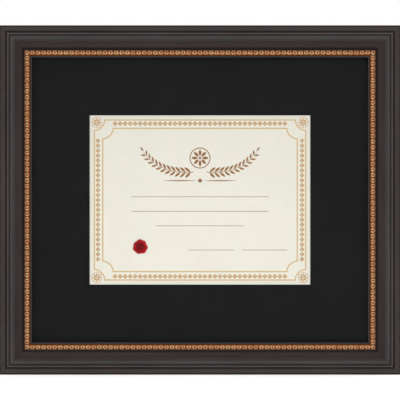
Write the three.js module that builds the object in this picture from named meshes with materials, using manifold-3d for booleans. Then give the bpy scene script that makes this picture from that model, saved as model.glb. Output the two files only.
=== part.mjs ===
// A certificate frame for the wall. Four mitred mahogany rails with a gilt beaded band hold a pane of
// glass, a black window mat, a certificate sheet hung on its mounting board, and a backing board that
// turn buttons keep in. Two D-ring hangers carry it, and two bumpers at its foot keep it off the wall.
//
// Millimetres. Seen from the front, +X is right and +Z is up. The front faces -Y, and +Y points into
// the wall. The origin lies on the wall, behind the middle of the frame.

import * as THREE from "three";
import { mergeVertices } from "three/addons/utils/BufferGeometryUtils.js";
import Module from "manifold-3d";

const wasm = await Module();
wasm.setup();

// The sheet, and the window of the mat over it.
const sheetWidth = 279.4;
const sheetHeight = 215.9;
const sheetThickness = 0.3;
const windowOverlap = 3.175; // the mat covers this much of the sheet's edge
const matBorder = 76.2; // from the window to the mat's outer edge
const matThickness = 1.5;
const matBevel = 1.5; // the window is this much wider, each side, at the front of the mat

// The other layers in the rabbet.
const glassThickness = 2.0;
const tapeThickness = 0.2;
const tapeWidth = 25;
const tapeLength = 30;
const tapeSpacing = 150;
const mountThickness = 5.0;
const backingThickness = 3.0;
const layerGap = 0.1; // between one layer and the next

// The rail's face, as widths from its outer edge to its sight edge.
const shoulderWidth = 6.9;
const stepWidth = 2.4;
const astragalWidth = 2.1;
const grooveWidth = 1.3;
const scoopWidth = 16.0;
const quirkWidth = 1.2;
const bandWidth = 7.2;
const lipWidth = 2.6;

// The rail's depths and heights. Its heights stand on the lip, which stands on the rabbet.
const rabbetWidth = 6.35;
const fitAllowance = 1.6; // between the layers and the rabbet's wall
const lipThickness = 4.4;
const scoopFootRise = 1.6; // the scoop's foot above the lip
const shoulderRise = 7.6; // the shoulder above the lip
const stepWall = 0.5; // the straight wall over the round floor of the outer groove
const grooveWall = 0.65; // the same in the inner groove
const crestWall = 0.4; // the straight wall under the crest's round nose
const crestRound = 2.0;
const crestRun = 2.4; // how far the crest runs level before the scoop falls
const footRun = 4.2; // how far the scoop runs level at its foot
const shoulderRound = 1.4;
const lipRound = 0.8;
const backChamfer = 0.8;
const mitreGap = 0.2;

// The gilt band: a strip let into the rail's channel, with ring-shaped beads along it.
const channelDepth = 1.0;
const stripGap = 0.15; // round the strip in its channel
const stripRise = 0.4; // the strip's ground above the lip
const beadPitch = 6.86;
const beadRadius = 3.1;
const crownRadius = 2.0;
const beadHeight = 1.7;
const dimpleDepth = 1.0;
const beadSink = 0.4; // the bead's foot below the strip's ground

// The back: turn buttons, D-ring hangers, their screws, the wedges in the mitres, and the bumpers.
const wallGap = 5.0; // from the rails' back to the wall
const hardwareGap = 0.2; // between a fitting and what it lies on or turns against
const buttonThickness = 1.0;
const buttonHeelRadius = 6.0;
const buttonNoseRadius = 4.0;
const buttonReach = 16.0; // from the screw to the middle of the nose
const buttonBend = 9.0; // where the nose starts to lift
const buttonLift = 1.3;
const buttonInset = 9.0; // from the rabbet's wall to the screw
const longButtonSpacing = 220;
const shortButtonSpacing = 120;
const screwRadius = 1.6;
const screwLength = 12.0;
const screwPoint = 3.0;
const screwHeadRadius = 3.3;
const screwCrownRadius = 2.3;
const screwHeadHeight = 2.0;
const screwBrim = 1.0; // the upright edge of the head
const screwClearance = 0.3; // round the screw in the hole of the fitting that it holds
const pilotGap = 0.2; // round the screw in the wood
const strapThickness = 0.9;
const strapWidth = 13.0;
const strapLength = 26.0; // from the ring's bar to the rounded end
const strapHoleMargin = 6.0; // from the rounded end to the screw
const strapSlit = 0.15; // between the two layers of the folded strap
const ringWire = 2.2;
const ringPlay = 0.3; // round the ring's bar in the strap's loop
const ringWidth = 22.0; // between the middles of the wire
const ringDepth = 14.0;
const ringCorner = 3.0;
const hangerInset = 17.0; // from the frame's outer side
const hangerDrop = 98.0; // from the frame's top to the ring's bar
const nailThickness = 0.8;
const nailLeg = 6.0;
const nailHeight = 10.0;
const nailSink = 0.3;
const nailGap = 0.2;
const nailInset = 10.0; // from the frame's two outer sides to the outer wedge's corner
const nailSpacing = 12.0; // on to the inner wedge's corner, both ways
const bumperRadius = 5.5;
const bumperFlat = 3.0;
const bumperInset = 17.0; // from the frame's bottom
const bumperFromSide = 46.0;

// How finely round stretches are cut.
const profileSteps = 5;
const roundSides = 12;
const beadSides = 8;
const ringSteps = 30;
const ringSides = 8;
const weldDistance = 1e-3;

// Sizes that follow from the ones above.
const windowWidth = sheetWidth - 2 * windowOverlap;
const windowHeight = sheetHeight - 2 * windowOverlap;
const layerWidth = windowWidth + 2 * matBorder;
const layerHeight = windowHeight + 2 * matBorder;
const boards = [backingThickness, mountThickness];
const layers = [...boards, tapeThickness, sheetThickness, matThickness, glassThickness]; // from the back
const rabbetDepth = layers.reduce((depth, thickness) => depth + thickness + layerGap, 0);
const stepStart = shoulderWidth;
const astragalStart = stepStart + stepWidth;
const grooveStart = astragalStart + astragalWidth;
const scoopStart = grooveStart + grooveWidth;
const quirkStart = scoopStart + scoopWidth;
const bandStart = quirkStart + quirkWidth;
const lipStart = bandStart + bandWidth;
const railWidth = lipStart + lipWidth;
const rabbetWall = railWidth - rabbetWidth;
const lipHeight = rabbetDepth + lipThickness;
const shoulderHeight = lipHeight + shoulderRise;
const noseStart = shoulderHeight + crestWall;
const crestHeight = noseStart + crestRound;
const scoopFoot = lipHeight + scoopFootRise;
const channelFloor = lipHeight - channelDepth;
const frameWidth = layerWidth + 2 * (fitAllowance + rabbetWall);
const frameHeight = layerHeight + 2 * (fitAllowance + rabbetWall);
const backPlane = -wallGap;
const buttonScrewInset = rabbetWall - buttonInset;
const loopRadius = ringWire / 2 + ringPlay + strapThickness;
const strapHeight = 2 * strapThickness + strapSlit;
const hangerAcross = frameWidth / 2 - hangerInset;
const hangerHeight = frameHeight / 2 - hangerDrop;
const strapHole = strapLength - strapHoleMargin; // from the ring's bar to the screw
const hangerScrewHeight = hangerHeight - strapHole;

const mahogany = { color: 0x3b3130, roughness: 0.42, metalness: 0 };
const gilt = { color: 0xa87a4c, roughness: 0.35, metalness: 0.8 };
const clearGlass = { color: 0xf4f8f8, roughness: 0.05, metalness: 0, transparent: true, opacity: 0.1 };
const blackMat = { color: 0x202020, roughness: 0.95, metalness: 0 };
const ivoryPaper = { color: 0xece8dc, roughness: 0.85, metalness: 0 };
const linen = { color: 0xe6e0d0, roughness: 0.95, metalness: 0 };
const foamBoard = { color: 0xefeeea, roughness: 0.9, metalness: 0 };
const hardboard = { color: 0x6a4a30, roughness: 0.8, metalness: 0 };
const zincPlate = { color: 0xb4b6b8, roughness: 0.35, metalness: 0.9 };
const brassPlate = { color: 0xb89a58, roughness: 0.32, metalness: 0.9 };
const rubber = { color: 0x2a2a2a, roughness: 0.8, metalness: 0 };

function piece(name, geometry, finish) {
  const mesh = new THREE.Mesh(geometry, new THREE.MeshStandardMaterial(finish));
  mesh.name = name;
  return mesh;
}

// Closed geometry as a solid that can be joined and cut, and back again.
function solidFrom(geometry) {
  const bare = new THREE.BufferGeometry();
  bare.setAttribute("position", geometry.getAttribute("position"));
  bare.setIndex(geometry.getIndex());
  const welded = mergeVertices(bare, weldDistance);
  const vertProperties = welded.getAttribute("position").array;
  const triVerts = new Uint32Array(welded.getIndex().array);
  return new wasm.Manifold(new wasm.Mesh({ numProp: 3, vertProperties, triVerts }));
}

function geometryFrom(solid) {
  const cut = solid.getMesh();
  const geometry = new THREE.BufferGeometry();
  geometry.setAttribute("position", new THREE.BufferAttribute(cut.vertProperties, cut.numProp));
  geometry.setIndex(new THREE.BufferAttribute(cut.triVerts, 1));
  geometry.computeVertexNormals();
  return geometry;
}

function rectangle(left, bottom, right, top) {
  const shape = new THREE.Shape();
  shape.moveTo(left, bottom).lineTo(right, bottom).lineTo(right, top).lineTo(left, top).closePath();
  return shape;
}

function centredRectangle(width, height) {
  return rectangle(-width / 2, -height / 2, width / 2, height / 2);
}

// A bar of constant section along X, mitred at both ends. The section's x runs in from the outer edge,
// to +Z here, and its y runs forward from the back, to -Y here. The length is that of the outer edge.
function mitredBar(section, outerLength) {
  const options = { depth: 1, bevelEnabled: false, curveSegments: profileSteps };
  const bar = new THREE.ExtrudeGeometry(section, options);
  const points = bar.getAttribute("position");
  for (let i = 0; i < points.count; i++) {
    const inward = points.getX(i);
    const forward = points.getY(i);
    const end = points.getZ(i) > 0 ? 1 : -1;
    points.setXYZ(i, end * (outerLength / 2 - inward - mitreGap / 2), -forward, inward);
  }
  return bar;
}

// The rail's section: a round-nosed shoulder, a groove, an astragal, a second groove, a crest that falls
// in an ogee scoop, a quirk, the channel for the gilt strip, the sight lip, and the rabbet behind it.
function railSection() {
  const section = new THREE.Shape();
  section.moveTo(backChamfer, 0);
  section.lineTo(0, backChamfer);
  section.lineTo(0, shoulderHeight - shoulderRound);
  section.absarc(shoulderRound, shoulderHeight - shoulderRound, shoulderRound, Math.PI, Math.PI / 2, true);
  addGroove(section, stepStart, stepWidth, stepWall);
  section.absarc(astragalStart + astragalWidth / 2, shoulderHeight, astragalWidth / 2, Math.PI, 0, true);
  addGroove(section, grooveStart, grooveWidth, grooveWall);
  addScoop(section);
  section.lineTo(quirkStart, lipHeight);
  section.lineTo(bandStart, lipHeight);
  section.lineTo(bandStart, channelFloor);
  section.lineTo(lipStart, channelFloor);
  section.lineTo(lipStart, lipHeight);
  section.absarc(railWidth - lipRound, lipHeight - lipRound, lipRound, Math.PI / 2, 0, true);
  section.lineTo(railWidth, rabbetDepth);
  section.lineTo(rabbetWall, rabbetDepth);
  section.lineTo(rabbetWall, 0);
  section.closePath();
  return section;
}

// A groove with straight walls and a round floor, sunk from the height of the shoulder.
function addGroove(section, start, width, wall) {
  const radius = width / 2;
  section.lineTo(start, shoulderHeight);
  section.absarc(start + radius, shoulderHeight - wall, radius, Math.PI, 2 * Math.PI, false);
  section.lineTo(start + width, shoulderHeight);
}

// The crest's round nose, then an ogee: convex off the crest and hollow towards its foot.
function addScoop(section) {
  const noseEnd = scoopStart + crestRound;
  const crestEnd = new THREE.Vector2(noseEnd + crestRun, crestHeight);
  const footEnd = new THREE.Vector2(quirkStart - footRun, scoopFoot);
  const middle = crestEnd.clone().lerp(footEnd, 1 / 2);
  section.absarc(noseEnd, noseStart, crestRound, Math.PI, Math.PI / 2, true);
  section.quadraticCurveTo(crestEnd.x, crestEnd.y, middle.x, middle.y);
  section.quadraticCurveTo(footEnd.x, footEnd.y, quirkStart, scoopFoot);
}

// A blind hole in the wood for a screw. Its cutter starts a little outside the rail's back.
function pilotHole(along, inward) {
  const depth = screwLength + pilotGap;
  const radius = screwRadius + pilotGap;
  const hole = new THREE.CylinderGeometry(radius, radius, depth + pilotGap, roundSides);
  hole.translate(along, (pilotGap - depth) / 2, inward);
  return solidFrom(hole);
}

// A bent wedge: two legs that meet square on the mitre, one along each rail. In plan X and Z run in from
// the two outer edges, and the wedge reaches down to -Y.
function wedgeGeometry(inset, gap, height) {
  const near = inset - nailThickness / 2 - gap;
  const far = inset + nailThickness / 2 + gap;
  const end = inset + nailLeg + gap;
  const plan = new THREE.Shape();
  plan.moveTo(near, near).lineTo(end, near).lineTo(end, far).lineTo(far, far);
  plan.lineTo(far, end).lineTo(near, end).closePath();
  return new THREE.ExtrudeGeometry(plan, { depth: height, bevelEnabled: false }).rotateX(Math.PI / 2);
}

// The slot that a wedge is driven into, at one end of a rail: the wedge grown by a gap, up through the back.
function wedgeSlot(inset, outerLength, end) {
  const slot = wedgeGeometry(inset, nailGap, nailGap + nailHeight + nailSink + nailGap);
  slot.translate(0, nailGap, 0);
  if (end > 0) slot.rotateY(-Math.PI / 2);
  return solidFrom(slot.translate((end * outerLength) / 2, 0, 0));
}

const wedgeInsets = { outer: nailInset, inner: nailInset + nailSpacing };

function railGeometry(outerLength, buttonStations, hangerStations) {
  let wood = solidFrom(mitredBar(railSection(), outerLength));
  for (const along of buttonStations) wood = wood.subtract(pilotHole(along, buttonScrewInset));
  for (const along of hangerStations) wood = wood.subtract(pilotHole(along, hangerInset));
  for (const inset of Object.values(wedgeInsets)) {
    for (const end of [-1, 1]) wood = wood.subtract(wedgeSlot(inset, outerLength, end));
  }
  return geometryFrom(wood);
}

// The gilt strip: a flat ground in the channel, with a row of ring-shaped beads pressed up from it. The
// row starts and ends with a bead on the mitre, so that each corner of the frame has one whole bead.
function giltGeometry(outerLength) {
  const low = bandStart + stripGap;
  const high = lipStart - stripGap;
  const floor = channelFloor + stripGap;
  const ground = lipHeight + stripRise;
  const middle = (low + high) / 2;
  const run = outerLength - 2 * middle;
  const count = Math.round(run / beadPitch);
  const bead = beadGeometry();
  const beads = Array.from({ length: count + 1 }, (_, i) => {
    const along = (i / count - 1 / 2) * run;
    return solidFrom(bead.clone().translate(along, -ground, middle));
  });
  const row = beads.reduce((joined, next) => joined.add(next));
  const room = rectangle(bandStart, floor, lipStart, ground + beadHeight + stripGap);
  const strip = solidFrom(mitredBar(rectangle(low, floor, high, ground), outerLength));
  return geometryFrom(strip.add(row.intersect(solidFrom(mitredBar(room, outerLength)))));
}

// One bead: a low ring with a dimple in its crown, facing -Y. Its side slopes on below the ground.
function beadGeometry() {
  const slope = (beadRadius - crownRadius) / beadHeight;
  const profile = [
    new THREE.Vector2(0, -beadSink),
    new THREE.Vector2(beadRadius + slope * beadSink, -beadSink),
    new THREE.Vector2(crownRadius, beadHeight),
    new THREE.Vector2(0, beadHeight - dimpleDepth),
  ];
  return new THREE.LatheGeometry(profile, beadSides).rotateX(Math.PI);
}

// A flat layer in the rabbet: its back lies at y = 0 and its front faces -Y.
function layerGeometry(outline, thickness) {
  return new THREE.ExtrudeGeometry(outline, { depth: thickness, bevelEnabled: false }).rotateX(Math.PI / 2);
}

// The mat's window slopes: the edges of its back are drawn in from those of its front.
function matGeometry() {
  const outline = centredRectangle(layerWidth, layerHeight);
  outline.holes.push(centredRectangle(windowWidth + 2 * matBevel, windowHeight + 2 * matBevel));
  const mat = layerGeometry(outline, matThickness);
  const points = mat.getAttribute("position");
  const borderMiddle = (windowWidth + matBorder) / 2;
  for (let i = 0; i < points.count; i++) {
    const [x, y, z] = [points.getX(i), points.getY(i), points.getZ(i)];
    const isBack = y > -matThickness / 2;
    const isWindow = Math.abs(x) < borderMiddle;
    if (isBack && isWindow) points.setXYZ(i, x - Math.sign(x) * matBevel, y, z - Math.sign(z) * matBevel);
  }
  return mat;
}

// Sheet metal stamped to a plan outline and bent to a side profile: the material that both share, with a
// hole for its screw. X runs along the fitting, Y across it, and Z up from what it lies on.
function stampedGeometry(side, plan, width, height, holeAt) {
  const options = { bevelEnabled: false, curveSegments: profileSteps };
  const bent = new THREE.ExtrudeGeometry(side, { ...options, depth: width });
  bent.rotateX(Math.PI / 2).translate(0, width / 2, 0);
  const blank = new THREE.ExtrudeGeometry(plan, { ...options, depth: height + 2 * hardwareGap });
  blank.translate(0, 0, -hardwareGap);
  const holeRadius = screwRadius + screwClearance;
  const hole = new THREE.CylinderGeometry(holeRadius, holeRadius, 2 * height, roundSides);
  hole.rotateX(Math.PI / 2).translate(holeAt, 0, 0);
  return geometryFrom(solidFrom(bent).intersect(solidFrom(blank)).subtract(solidFrom(hole)));
}

// A turn button: a teardrop of sheet steel with its nose lifted, so that it rides up on the backing board.
function buttonGeometry() {
  const tip = buttonReach + buttonNoseRadius;
  const lean = Math.acos((buttonHeelRadius - buttonNoseRadius) / buttonReach);
  const plan = new THREE.Shape();
  plan.absarc(0, 0, buttonHeelRadius, lean, 2 * Math.PI - lean, false);
  plan.absarc(buttonReach, 0, buttonNoseRadius, -lean, lean, false);
  plan.closePath();
  const bendMiddle = (buttonBend + tip) / 2;
  const side = new THREE.Shape();
  side.moveTo(-buttonHeelRadius, 0).lineTo(buttonBend, 0);
  side.quadraticCurveTo(bendMiddle, 0, tip, buttonLift);
  side.lineTo(tip, buttonLift + buttonThickness);
  side.quadraticCurveTo(bendMiddle, buttonThickness, buttonBend, buttonThickness);
  side.lineTo(-buttonHeelRadius, buttonThickness).closePath();
  return stampedGeometry(side, plan, 2 * buttonHeelRadius, buttonThickness + buttonLift, 0);
}

// A hanger's strap: sheet folded round the ring's bar, its two layers lying on each other from the loop to
// the rounded end.
function strapGeometry() {
  const bore = loopRadius - strapThickness;
  const slitTop = strapThickness + strapSlit;
  const outerNeck = Math.PI + Math.asin((loopRadius - strapHeight) / loopRadius);
  const innerNeck = Math.PI + Math.asin((loopRadius - slitTop) / bore);
  const side = new THREE.Shape();
  side.moveTo(-strapLength, 0).lineTo(0, 0);
  side.absarc(0, loopRadius, loopRadius, -Math.PI / 2, outerNeck, false);
  side.lineTo(-strapLength, strapHeight).lineTo(-strapLength, slitTop);
  side.absarc(0, loopRadius, bore, innerNeck, -Math.PI / 2, true);
  side.lineTo(-strapLength, strapThickness).closePath();
  const round = strapWidth / 2;
  const front = loopRadius + hardwareGap;
  const plan = new THREE.Shape();
  plan.moveTo(front, -round).lineTo(front, round).lineTo(round - strapLength, round);
  plan.absarc(round - strapLength, 0, round, Math.PI / 2, (3 * Math.PI) / 2, false);
  plan.closePath();
  return stampedGeometry(side, plan, strapWidth, 2 * loopRadius, -strapHole);
}

// A D-ring of round wire: its straight bar lies on the X axis, and its bow stands up along +Z.
function ringGeometry() {
  const half = ringWidth / 2;
  const barEnd = half - ringCorner;
  const at = (x, z) => new THREE.Vector3(x, 0, z);
  const corner = (side) => [at(side * barEnd, 0), at(side * half, 0), at(side * half, ringCorner)];
  const shoulder = (side) => [at(side * half, ringDepth), at((side * half) / 2, ringDepth)];
  const bow = (side) => [at(side * half, ringCorner), ...shoulder(side)];
  const top = at(0, ringDepth);
  const wire = new THREE.CurvePath();
  wire.add(new THREE.LineCurve3(at(-barEnd, 0), at(barEnd, 0)));
  wire.add(new THREE.QuadraticBezierCurve3(...corner(1)));
  wire.add(new THREE.CubicBezierCurve3(...bow(1), top));
  wire.add(new THREE.CubicBezierCurve3(top, ...bow(-1).reverse()));
  wire.add(new THREE.QuadraticBezierCurve3(...corner(-1).reverse()));
  return new THREE.TubeGeometry(wire, ringSteps, ringWire / 2, ringSides, true);
}

// A pan-head screw along Y. Its point is in the wood, and its head lies a gap over a fitting this thick.
function screwGeometry(fittingThickness) {
  const seat = hardwareGap + fittingThickness + hardwareGap;
  const profile = [
    new THREE.Vector2(0, -screwLength),
    new THREE.Vector2(screwRadius, screwPoint - screwLength),
    new THREE.Vector2(screwRadius, seat),
    new THREE.Vector2(screwHeadRadius, seat),
    new THREE.Vector2(screwHeadRadius, seat + screwBrim),
    new THREE.Vector2(screwCrownRadius, seat + screwHeadHeight),
    new THREE.Vector2(0, seat + screwHeadHeight),
  ];
  return new THREE.LatheGeometry(profile, roundSides);
}

// A domed bumper on the rail's back, with a flat face on the wall.
function bumperGeometry() {
  const dome = new THREE.Path();
  dome.moveTo(0, hardwareGap).lineTo(bumperRadius, hardwareGap);
  dome.quadraticCurveTo(bumperRadius, wallGap, bumperFlat, wallGap);
  dome.lineTo(0, wallGap);
  return new THREE.LatheGeometry(dome.getPoints(profileSteps), roundSides);
}

// Lays a stamped fitting on the back of the frame: its X along +Z, and its Z towards the wall.
function lieOnBack(mesh) {
  const along = new THREE.Vector3(0, 0, 1);
  const across = new THREE.Vector3(1, 0, 0);
  const up = new THREE.Vector3(0, 1, 0);
  mesh.setRotationFromMatrix(new THREE.Matrix4().makeBasis(along, across, up));
  return mesh;
}

const frame = new THREE.Group();

// The four sides. Each is a group turned about Y, with X along the rail and Z in from its outer edge.
const longButtons = [-longButtonSpacing / 2, longButtonSpacing / 2];
const shortButtons = [-shortButtonSpacing / 2, shortButtonSpacing / 2];
const longSide = {
  buttons: longButtons,
  rail: railGeometry(frameWidth, longButtons, []),
  strip: giltGeometry(frameWidth),
};
const shortStrip = giltGeometry(frameHeight);
const shortSide = (hangerScrew) => ({
  buttons: shortButtons,
  rail: railGeometry(frameHeight, shortButtons, [hangerScrew]),
  strip: shortStrip,
});
const sides = [
  { name: "bottom", turn: 0, x: 0, z: -frameHeight / 2, ...longSide },
  { name: "top", turn: Math.PI, x: 0, z: frameHeight / 2, ...longSide },
  { name: "left", turn: Math.PI / 2, x: -frameWidth / 2, z: 0, ...shortSide(-hangerScrewHeight) },
  { name: "right", turn: -Math.PI / 2, x: frameWidth / 2, z: 0, ...shortSide(hangerScrewHeight) },
];
const buttonForm = buttonGeometry();
const buttonScrewForm = screwGeometry(buttonThickness);
for (const { name, turn, x, z, buttons, rail, strip } of sides) {
  const side = new THREE.Group();
  side.position.set(x, backPlane, z);
  side.rotation.y = turn;
  side.add(piece(`rail_${name}`, rail, mahogany), piece(`gilt_bead_${name}`, strip, gilt));
  for (const [i, along] of buttons.entries()) {
    const button = lieOnBack(piece(`turn_button_${name}_${i + 1}`, buttonForm, zincPlate));
    button.position.set(along, hardwareGap, buttonScrewInset);
    const screw = piece(`turn_button_screw_${name}_${i + 1}`, buttonScrewForm, brassPlate);
    screw.position.set(along, 0, buttonScrewInset);
    side.add(button, screw);
  }
  frame.add(side);
}

// The wedges in the mitres. Each corner is a group turned like a side.
const corners = [
  { name: "bottom_left", turn: 0, x: -frameWidth / 2, z: -frameHeight / 2 },
  { name: "bottom_right", turn: -Math.PI / 2, x: frameWidth / 2, z: -frameHeight / 2 },
  { name: "top_right", turn: Math.PI, x: frameWidth / 2, z: frameHeight / 2 },
  { name: "top_left", turn: Math.PI / 2, x: -frameWidth / 2, z: frameHeight / 2 },
];
for (const { name, turn, x, z } of corners) {
  const corner = new THREE.Group();
  corner.position.set(x, backPlane - nailSink, z);
  corner.rotation.y = turn;
  for (const [place, inset] of Object.entries(wedgeInsets)) {
    corner.add(piece(`v_nail_${name}_${place}`, wedgeGeometry(inset, 0, nailHeight), zincPlate));
  }
  frame.add(corner);
}

// The layers in the rabbet, from the back: each one starts at the depth that the layers behind it reach.
const fullLayer = centredRectangle(layerWidth, layerHeight);
const tapeForm = layerGeometry(centredRectangle(tapeWidth, tapeLength), tapeThickness);
const tapeLeft = piece("hinge_tape_left", tapeForm, linen);
const tapeRight = piece("hinge_tape_right", tapeForm, linen);
tapeLeft.position.set(-tapeSpacing / 2, 0, sheetHeight / 2);
tapeRight.position.set(tapeSpacing / 2, 0, sheetHeight / 2);
const sheetForm = layerGeometry(centredRectangle(sheetWidth, sheetHeight), sheetThickness);
const stack = [
  [piece("backing_board", layerGeometry(fullLayer, backingThickness), hardboard)],
  [piece("mounting_board", layerGeometry(fullLayer, mountThickness), foamBoard)],
  [tapeLeft, tapeRight],
  [piece("certificate_sheet", sheetForm, ivoryPaper)],
  [piece("mat_board", matGeometry(), blackMat)],
  [piece("glazing", layerGeometry(fullLayer, glassThickness), clearGlass)],
];
let layerBack = backPlane;
for (const [i, layer] of stack.entries()) {
  for (const mesh of layer) mesh.position.y = layerBack;
  layerBack -= layers[i] + layerGap;
  frame.add(...layer);
}

// The hangers on the side rails. At rest each ring leans on the rail's back, a gap away from it.
const ringLean = Math.asin((loopRadius - ringWire / 2) / ringDepth);
const strapForm = strapGeometry();
const ringForm = ringGeometry();
const hangerScrewForm = screwGeometry(strapHeight);
const bumperForm = bumperGeometry();
const hands = { left: -1, right: 1 };
for (const [name, hand] of Object.entries(hands)) {
  const hanger = new THREE.Group();
  hanger.position.set(hand * hangerAcross, backPlane, hangerHeight);
  const strap = lieOnBack(piece(`hanger_strap_${name}`, strapForm, zincPlate));
  strap.position.y = hardwareGap;
  const ring = piece(`hanger_ring_${name}`, ringForm, zincPlate);
  ring.position.y = hardwareGap + loopRadius;
  ring.rotation.x = ringLean;
  const screw = piece(`hanger_screw_${name}`, hangerScrewForm, brassPlate);
  screw.position.z = -strapHole;
  hanger.add(strap, ring, screw);

  // The bumpers stand on the bottom rail.
  const bumper = piece(`wall_bumper_${name}`, bumperForm, rubber);
  bumper.position.set(hand * (frameWidth / 2 - bumperFromSide), backPlane, bumperInset - frameHeight / 2);
  frame.add(hanger, bumper);
}

export default frame;
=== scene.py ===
"""A certificate frame for the wall: mitred mahogany moulding with a gilt beaded band, glass, a black window
mat, a certificate on its mounting board, and a back that turn buttons keep in. Metres; the front faces -Y."""

import math
import random

import bpy
from mathutils import Matrix, Vector


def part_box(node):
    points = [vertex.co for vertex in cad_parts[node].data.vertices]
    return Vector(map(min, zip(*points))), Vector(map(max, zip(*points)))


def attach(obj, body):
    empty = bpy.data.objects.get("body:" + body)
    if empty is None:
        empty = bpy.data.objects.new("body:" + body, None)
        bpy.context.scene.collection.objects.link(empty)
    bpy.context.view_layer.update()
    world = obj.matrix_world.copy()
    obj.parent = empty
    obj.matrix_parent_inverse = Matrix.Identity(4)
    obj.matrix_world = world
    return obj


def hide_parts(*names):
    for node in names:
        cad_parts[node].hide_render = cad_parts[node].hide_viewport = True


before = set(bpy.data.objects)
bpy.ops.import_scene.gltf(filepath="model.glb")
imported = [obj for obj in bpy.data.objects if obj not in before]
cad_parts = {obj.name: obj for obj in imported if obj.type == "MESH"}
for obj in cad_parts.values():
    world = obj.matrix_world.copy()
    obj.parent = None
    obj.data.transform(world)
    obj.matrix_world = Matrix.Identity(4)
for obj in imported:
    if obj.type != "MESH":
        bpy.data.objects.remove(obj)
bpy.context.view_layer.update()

# Rails
# Four lengths of machined mahogany moulding, mitred and glued at the corners. The face is stained nearly
# black and rubbed to a satin sheen, with painted highlights on its crest and astragal and painted shade on
# its outer edge and beside the band. The back and the rabbet are left bare.
mm = 0.001
half_width = -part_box("rail_left")[0].x
half_height = -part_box("rail_bottom")[0].z
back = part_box("rail_bottom")[1].y
rail_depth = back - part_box("rail_bottom")[0].y
rail_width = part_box("rail_bottom")[1].z + half_height
mitre_gap = 0.02 * mm
weld_reach = 0.001 * mm
rail_arris = 0.12 * mm
rail_crease = 35

# The face, as distances in from the outer edge. The band's channel leaves a gap round the gilt strip, and
# the rabbet's wall one round the glass.
strip_gap = 0.15 * mm
fit_allowance = 1.6 * mm
quirk_width = 1.2 * mm
step_start = 6.9 * mm
step_width = 2.4 * mm
astragal_width = 2.1 * mm
groove_width = 1.3 * mm
astragal_start = step_start + step_width
groove_start = astragal_start + astragal_width
scoop_start = groove_start + groove_width
band_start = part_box("gilt_bead_bottom")[0].z + half_height - strip_gap
lip_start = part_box("gilt_bead_bottom")[1].z + half_height + strip_gap
quirk_start = band_start - quirk_width
rabbet_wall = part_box("glazing")[0].x + half_width - fit_allowance

# The face, as heights over the back, with its rounds and the runs of its scoop.
layer_gap = 0.1 * mm
back_chamfer = 0.8 * mm
shoulder_round = 1.4 * mm
step_wall = 0.5 * mm
groove_wall = 0.65 * mm
nose_rise = 0.4 * mm
crest_round = 2.0 * mm
crest_run = 2.4 * mm
foot_run = 4.2 * mm
quirk_depth = 1.6 * mm
channel_depth = 1.0 * mm
lip_thickness = 4.4 * mm
lip_round = 0.8 * mm
rabbet_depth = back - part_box("glazing")[0].y + layer_gap
lip_height = rabbet_depth + lip_thickness
channel_floor = lip_height - channel_depth
scoop_foot = lip_height + quirk_depth
nose_start = rail_depth - crest_round
shoulder_height = nose_start - nose_rise


def arc(centre, radius, start, end, steps):
    """Points along an arc between two angles in degrees."""
    angles = [math.radians(start + (end - start) * i / steps) for i in range(steps + 1)]
    return [(centre[0] + radius * math.cos(a), centre[1] + radius * math.sin(a)) for a in angles]


def curve(points, steps):
    """Points along the Bezier curve that these points control."""
    reached = []
    for i in range(steps + 1):
        left = [Vector(p) for p in points]
        while len(left) > 1:
            left = [a.lerp(b, i / steps) for a, b in zip(left, left[1:])]
        reached.append(tuple(left[0]))
    return reached


def groove(start, width, wall):
    """A groove with straight walls and a round floor, sunk from the shoulder."""
    floor = arc((start + width / 2, shoulder_height - wall), width / 2, 180, 360, 10)
    return [(start, shoulder_height), *floor, (start + width, shoulder_height)]


def rail_outline():
    """The moulding in section, as (inward, forward) from the foot of its outer side round to the rabbet."""
    nose_end = scoop_start + crest_round
    crest_end = (nose_end + crest_run, rail_depth)
    foot_end = (quirk_start - foot_run, scoop_foot)
    middle = tuple(Vector(crest_end).lerp(Vector(foot_end), 0.5))
    return [
        (back_chamfer, 0),
        (0, back_chamfer),
        *arc((shoulder_round, shoulder_height - shoulder_round), shoulder_round, 180, 90, 6),
        *groove(step_start, step_width, step_wall),
        *arc((astragal_start + astragal_width / 2, shoulder_height), astragal_width / 2, 180, 0, 12),
        *groove(groove_start, groove_width, groove_wall),
        *arc((nose_end, nose_start), crest_round, 180, 90, 7),
        *curve([(nose_end, rail_depth), crest_end, middle], 8),
        *curve([middle, foot_end, (quirk_start, scoop_foot)], 10),
        (quirk_start, lip_height),
        (band_start, lip_height),
        (band_start, channel_floor),
        (lip_start, channel_floor),
        (lip_start, lip_height),
        *arc((rail_width - lip_round, lip_height - lip_round), lip_round, 90, 0, 5),
        (rail_width, rabbet_depth),
        (rabbet_wall, rabbet_depth),
        (rabbet_wall, 0),
    ]


def take_in(name):
    """Names the piece that was just added, and puts its place, turn and size into its mesh."""
    piece = bpy.context.object
    piece.name = piece.data.name = name
    bpy.ops.object.transform_apply(location=True, rotation=True, scale=True)
    return piece


def extrude(shift):
    bpy.ops.mesh.extrude_region_move(TRANSFORM_OT_translate={"value": shift})


def draw(name, points, closed=True):
    """A chain of edges through these points, drawn from a plane that is merged to one vertex and extruded.
    The new piece is left in edit mode, selected all over."""
    bpy.ops.object.select_all(action="DESELECT")
    bpy.ops.mesh.primitive_plane_add(size=mm, location=points[0])
    piece = take_in(name)
    bpy.ops.object.mode_set(mode="EDIT")
    bpy.ops.mesh.select_all(action="SELECT")
    bpy.ops.mesh.merge(type="CENTER")
    stops = [Vector(p) for p in points]
    for here, there in zip(stops, stops[1:] + stops[:1] if closed else stops[1:]):
        extrude(there - here)
    bpy.ops.mesh.select_all(action="SELECT")
    bpy.ops.mesh.remove_doubles(threshold=weld_reach)
    return piece


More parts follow.
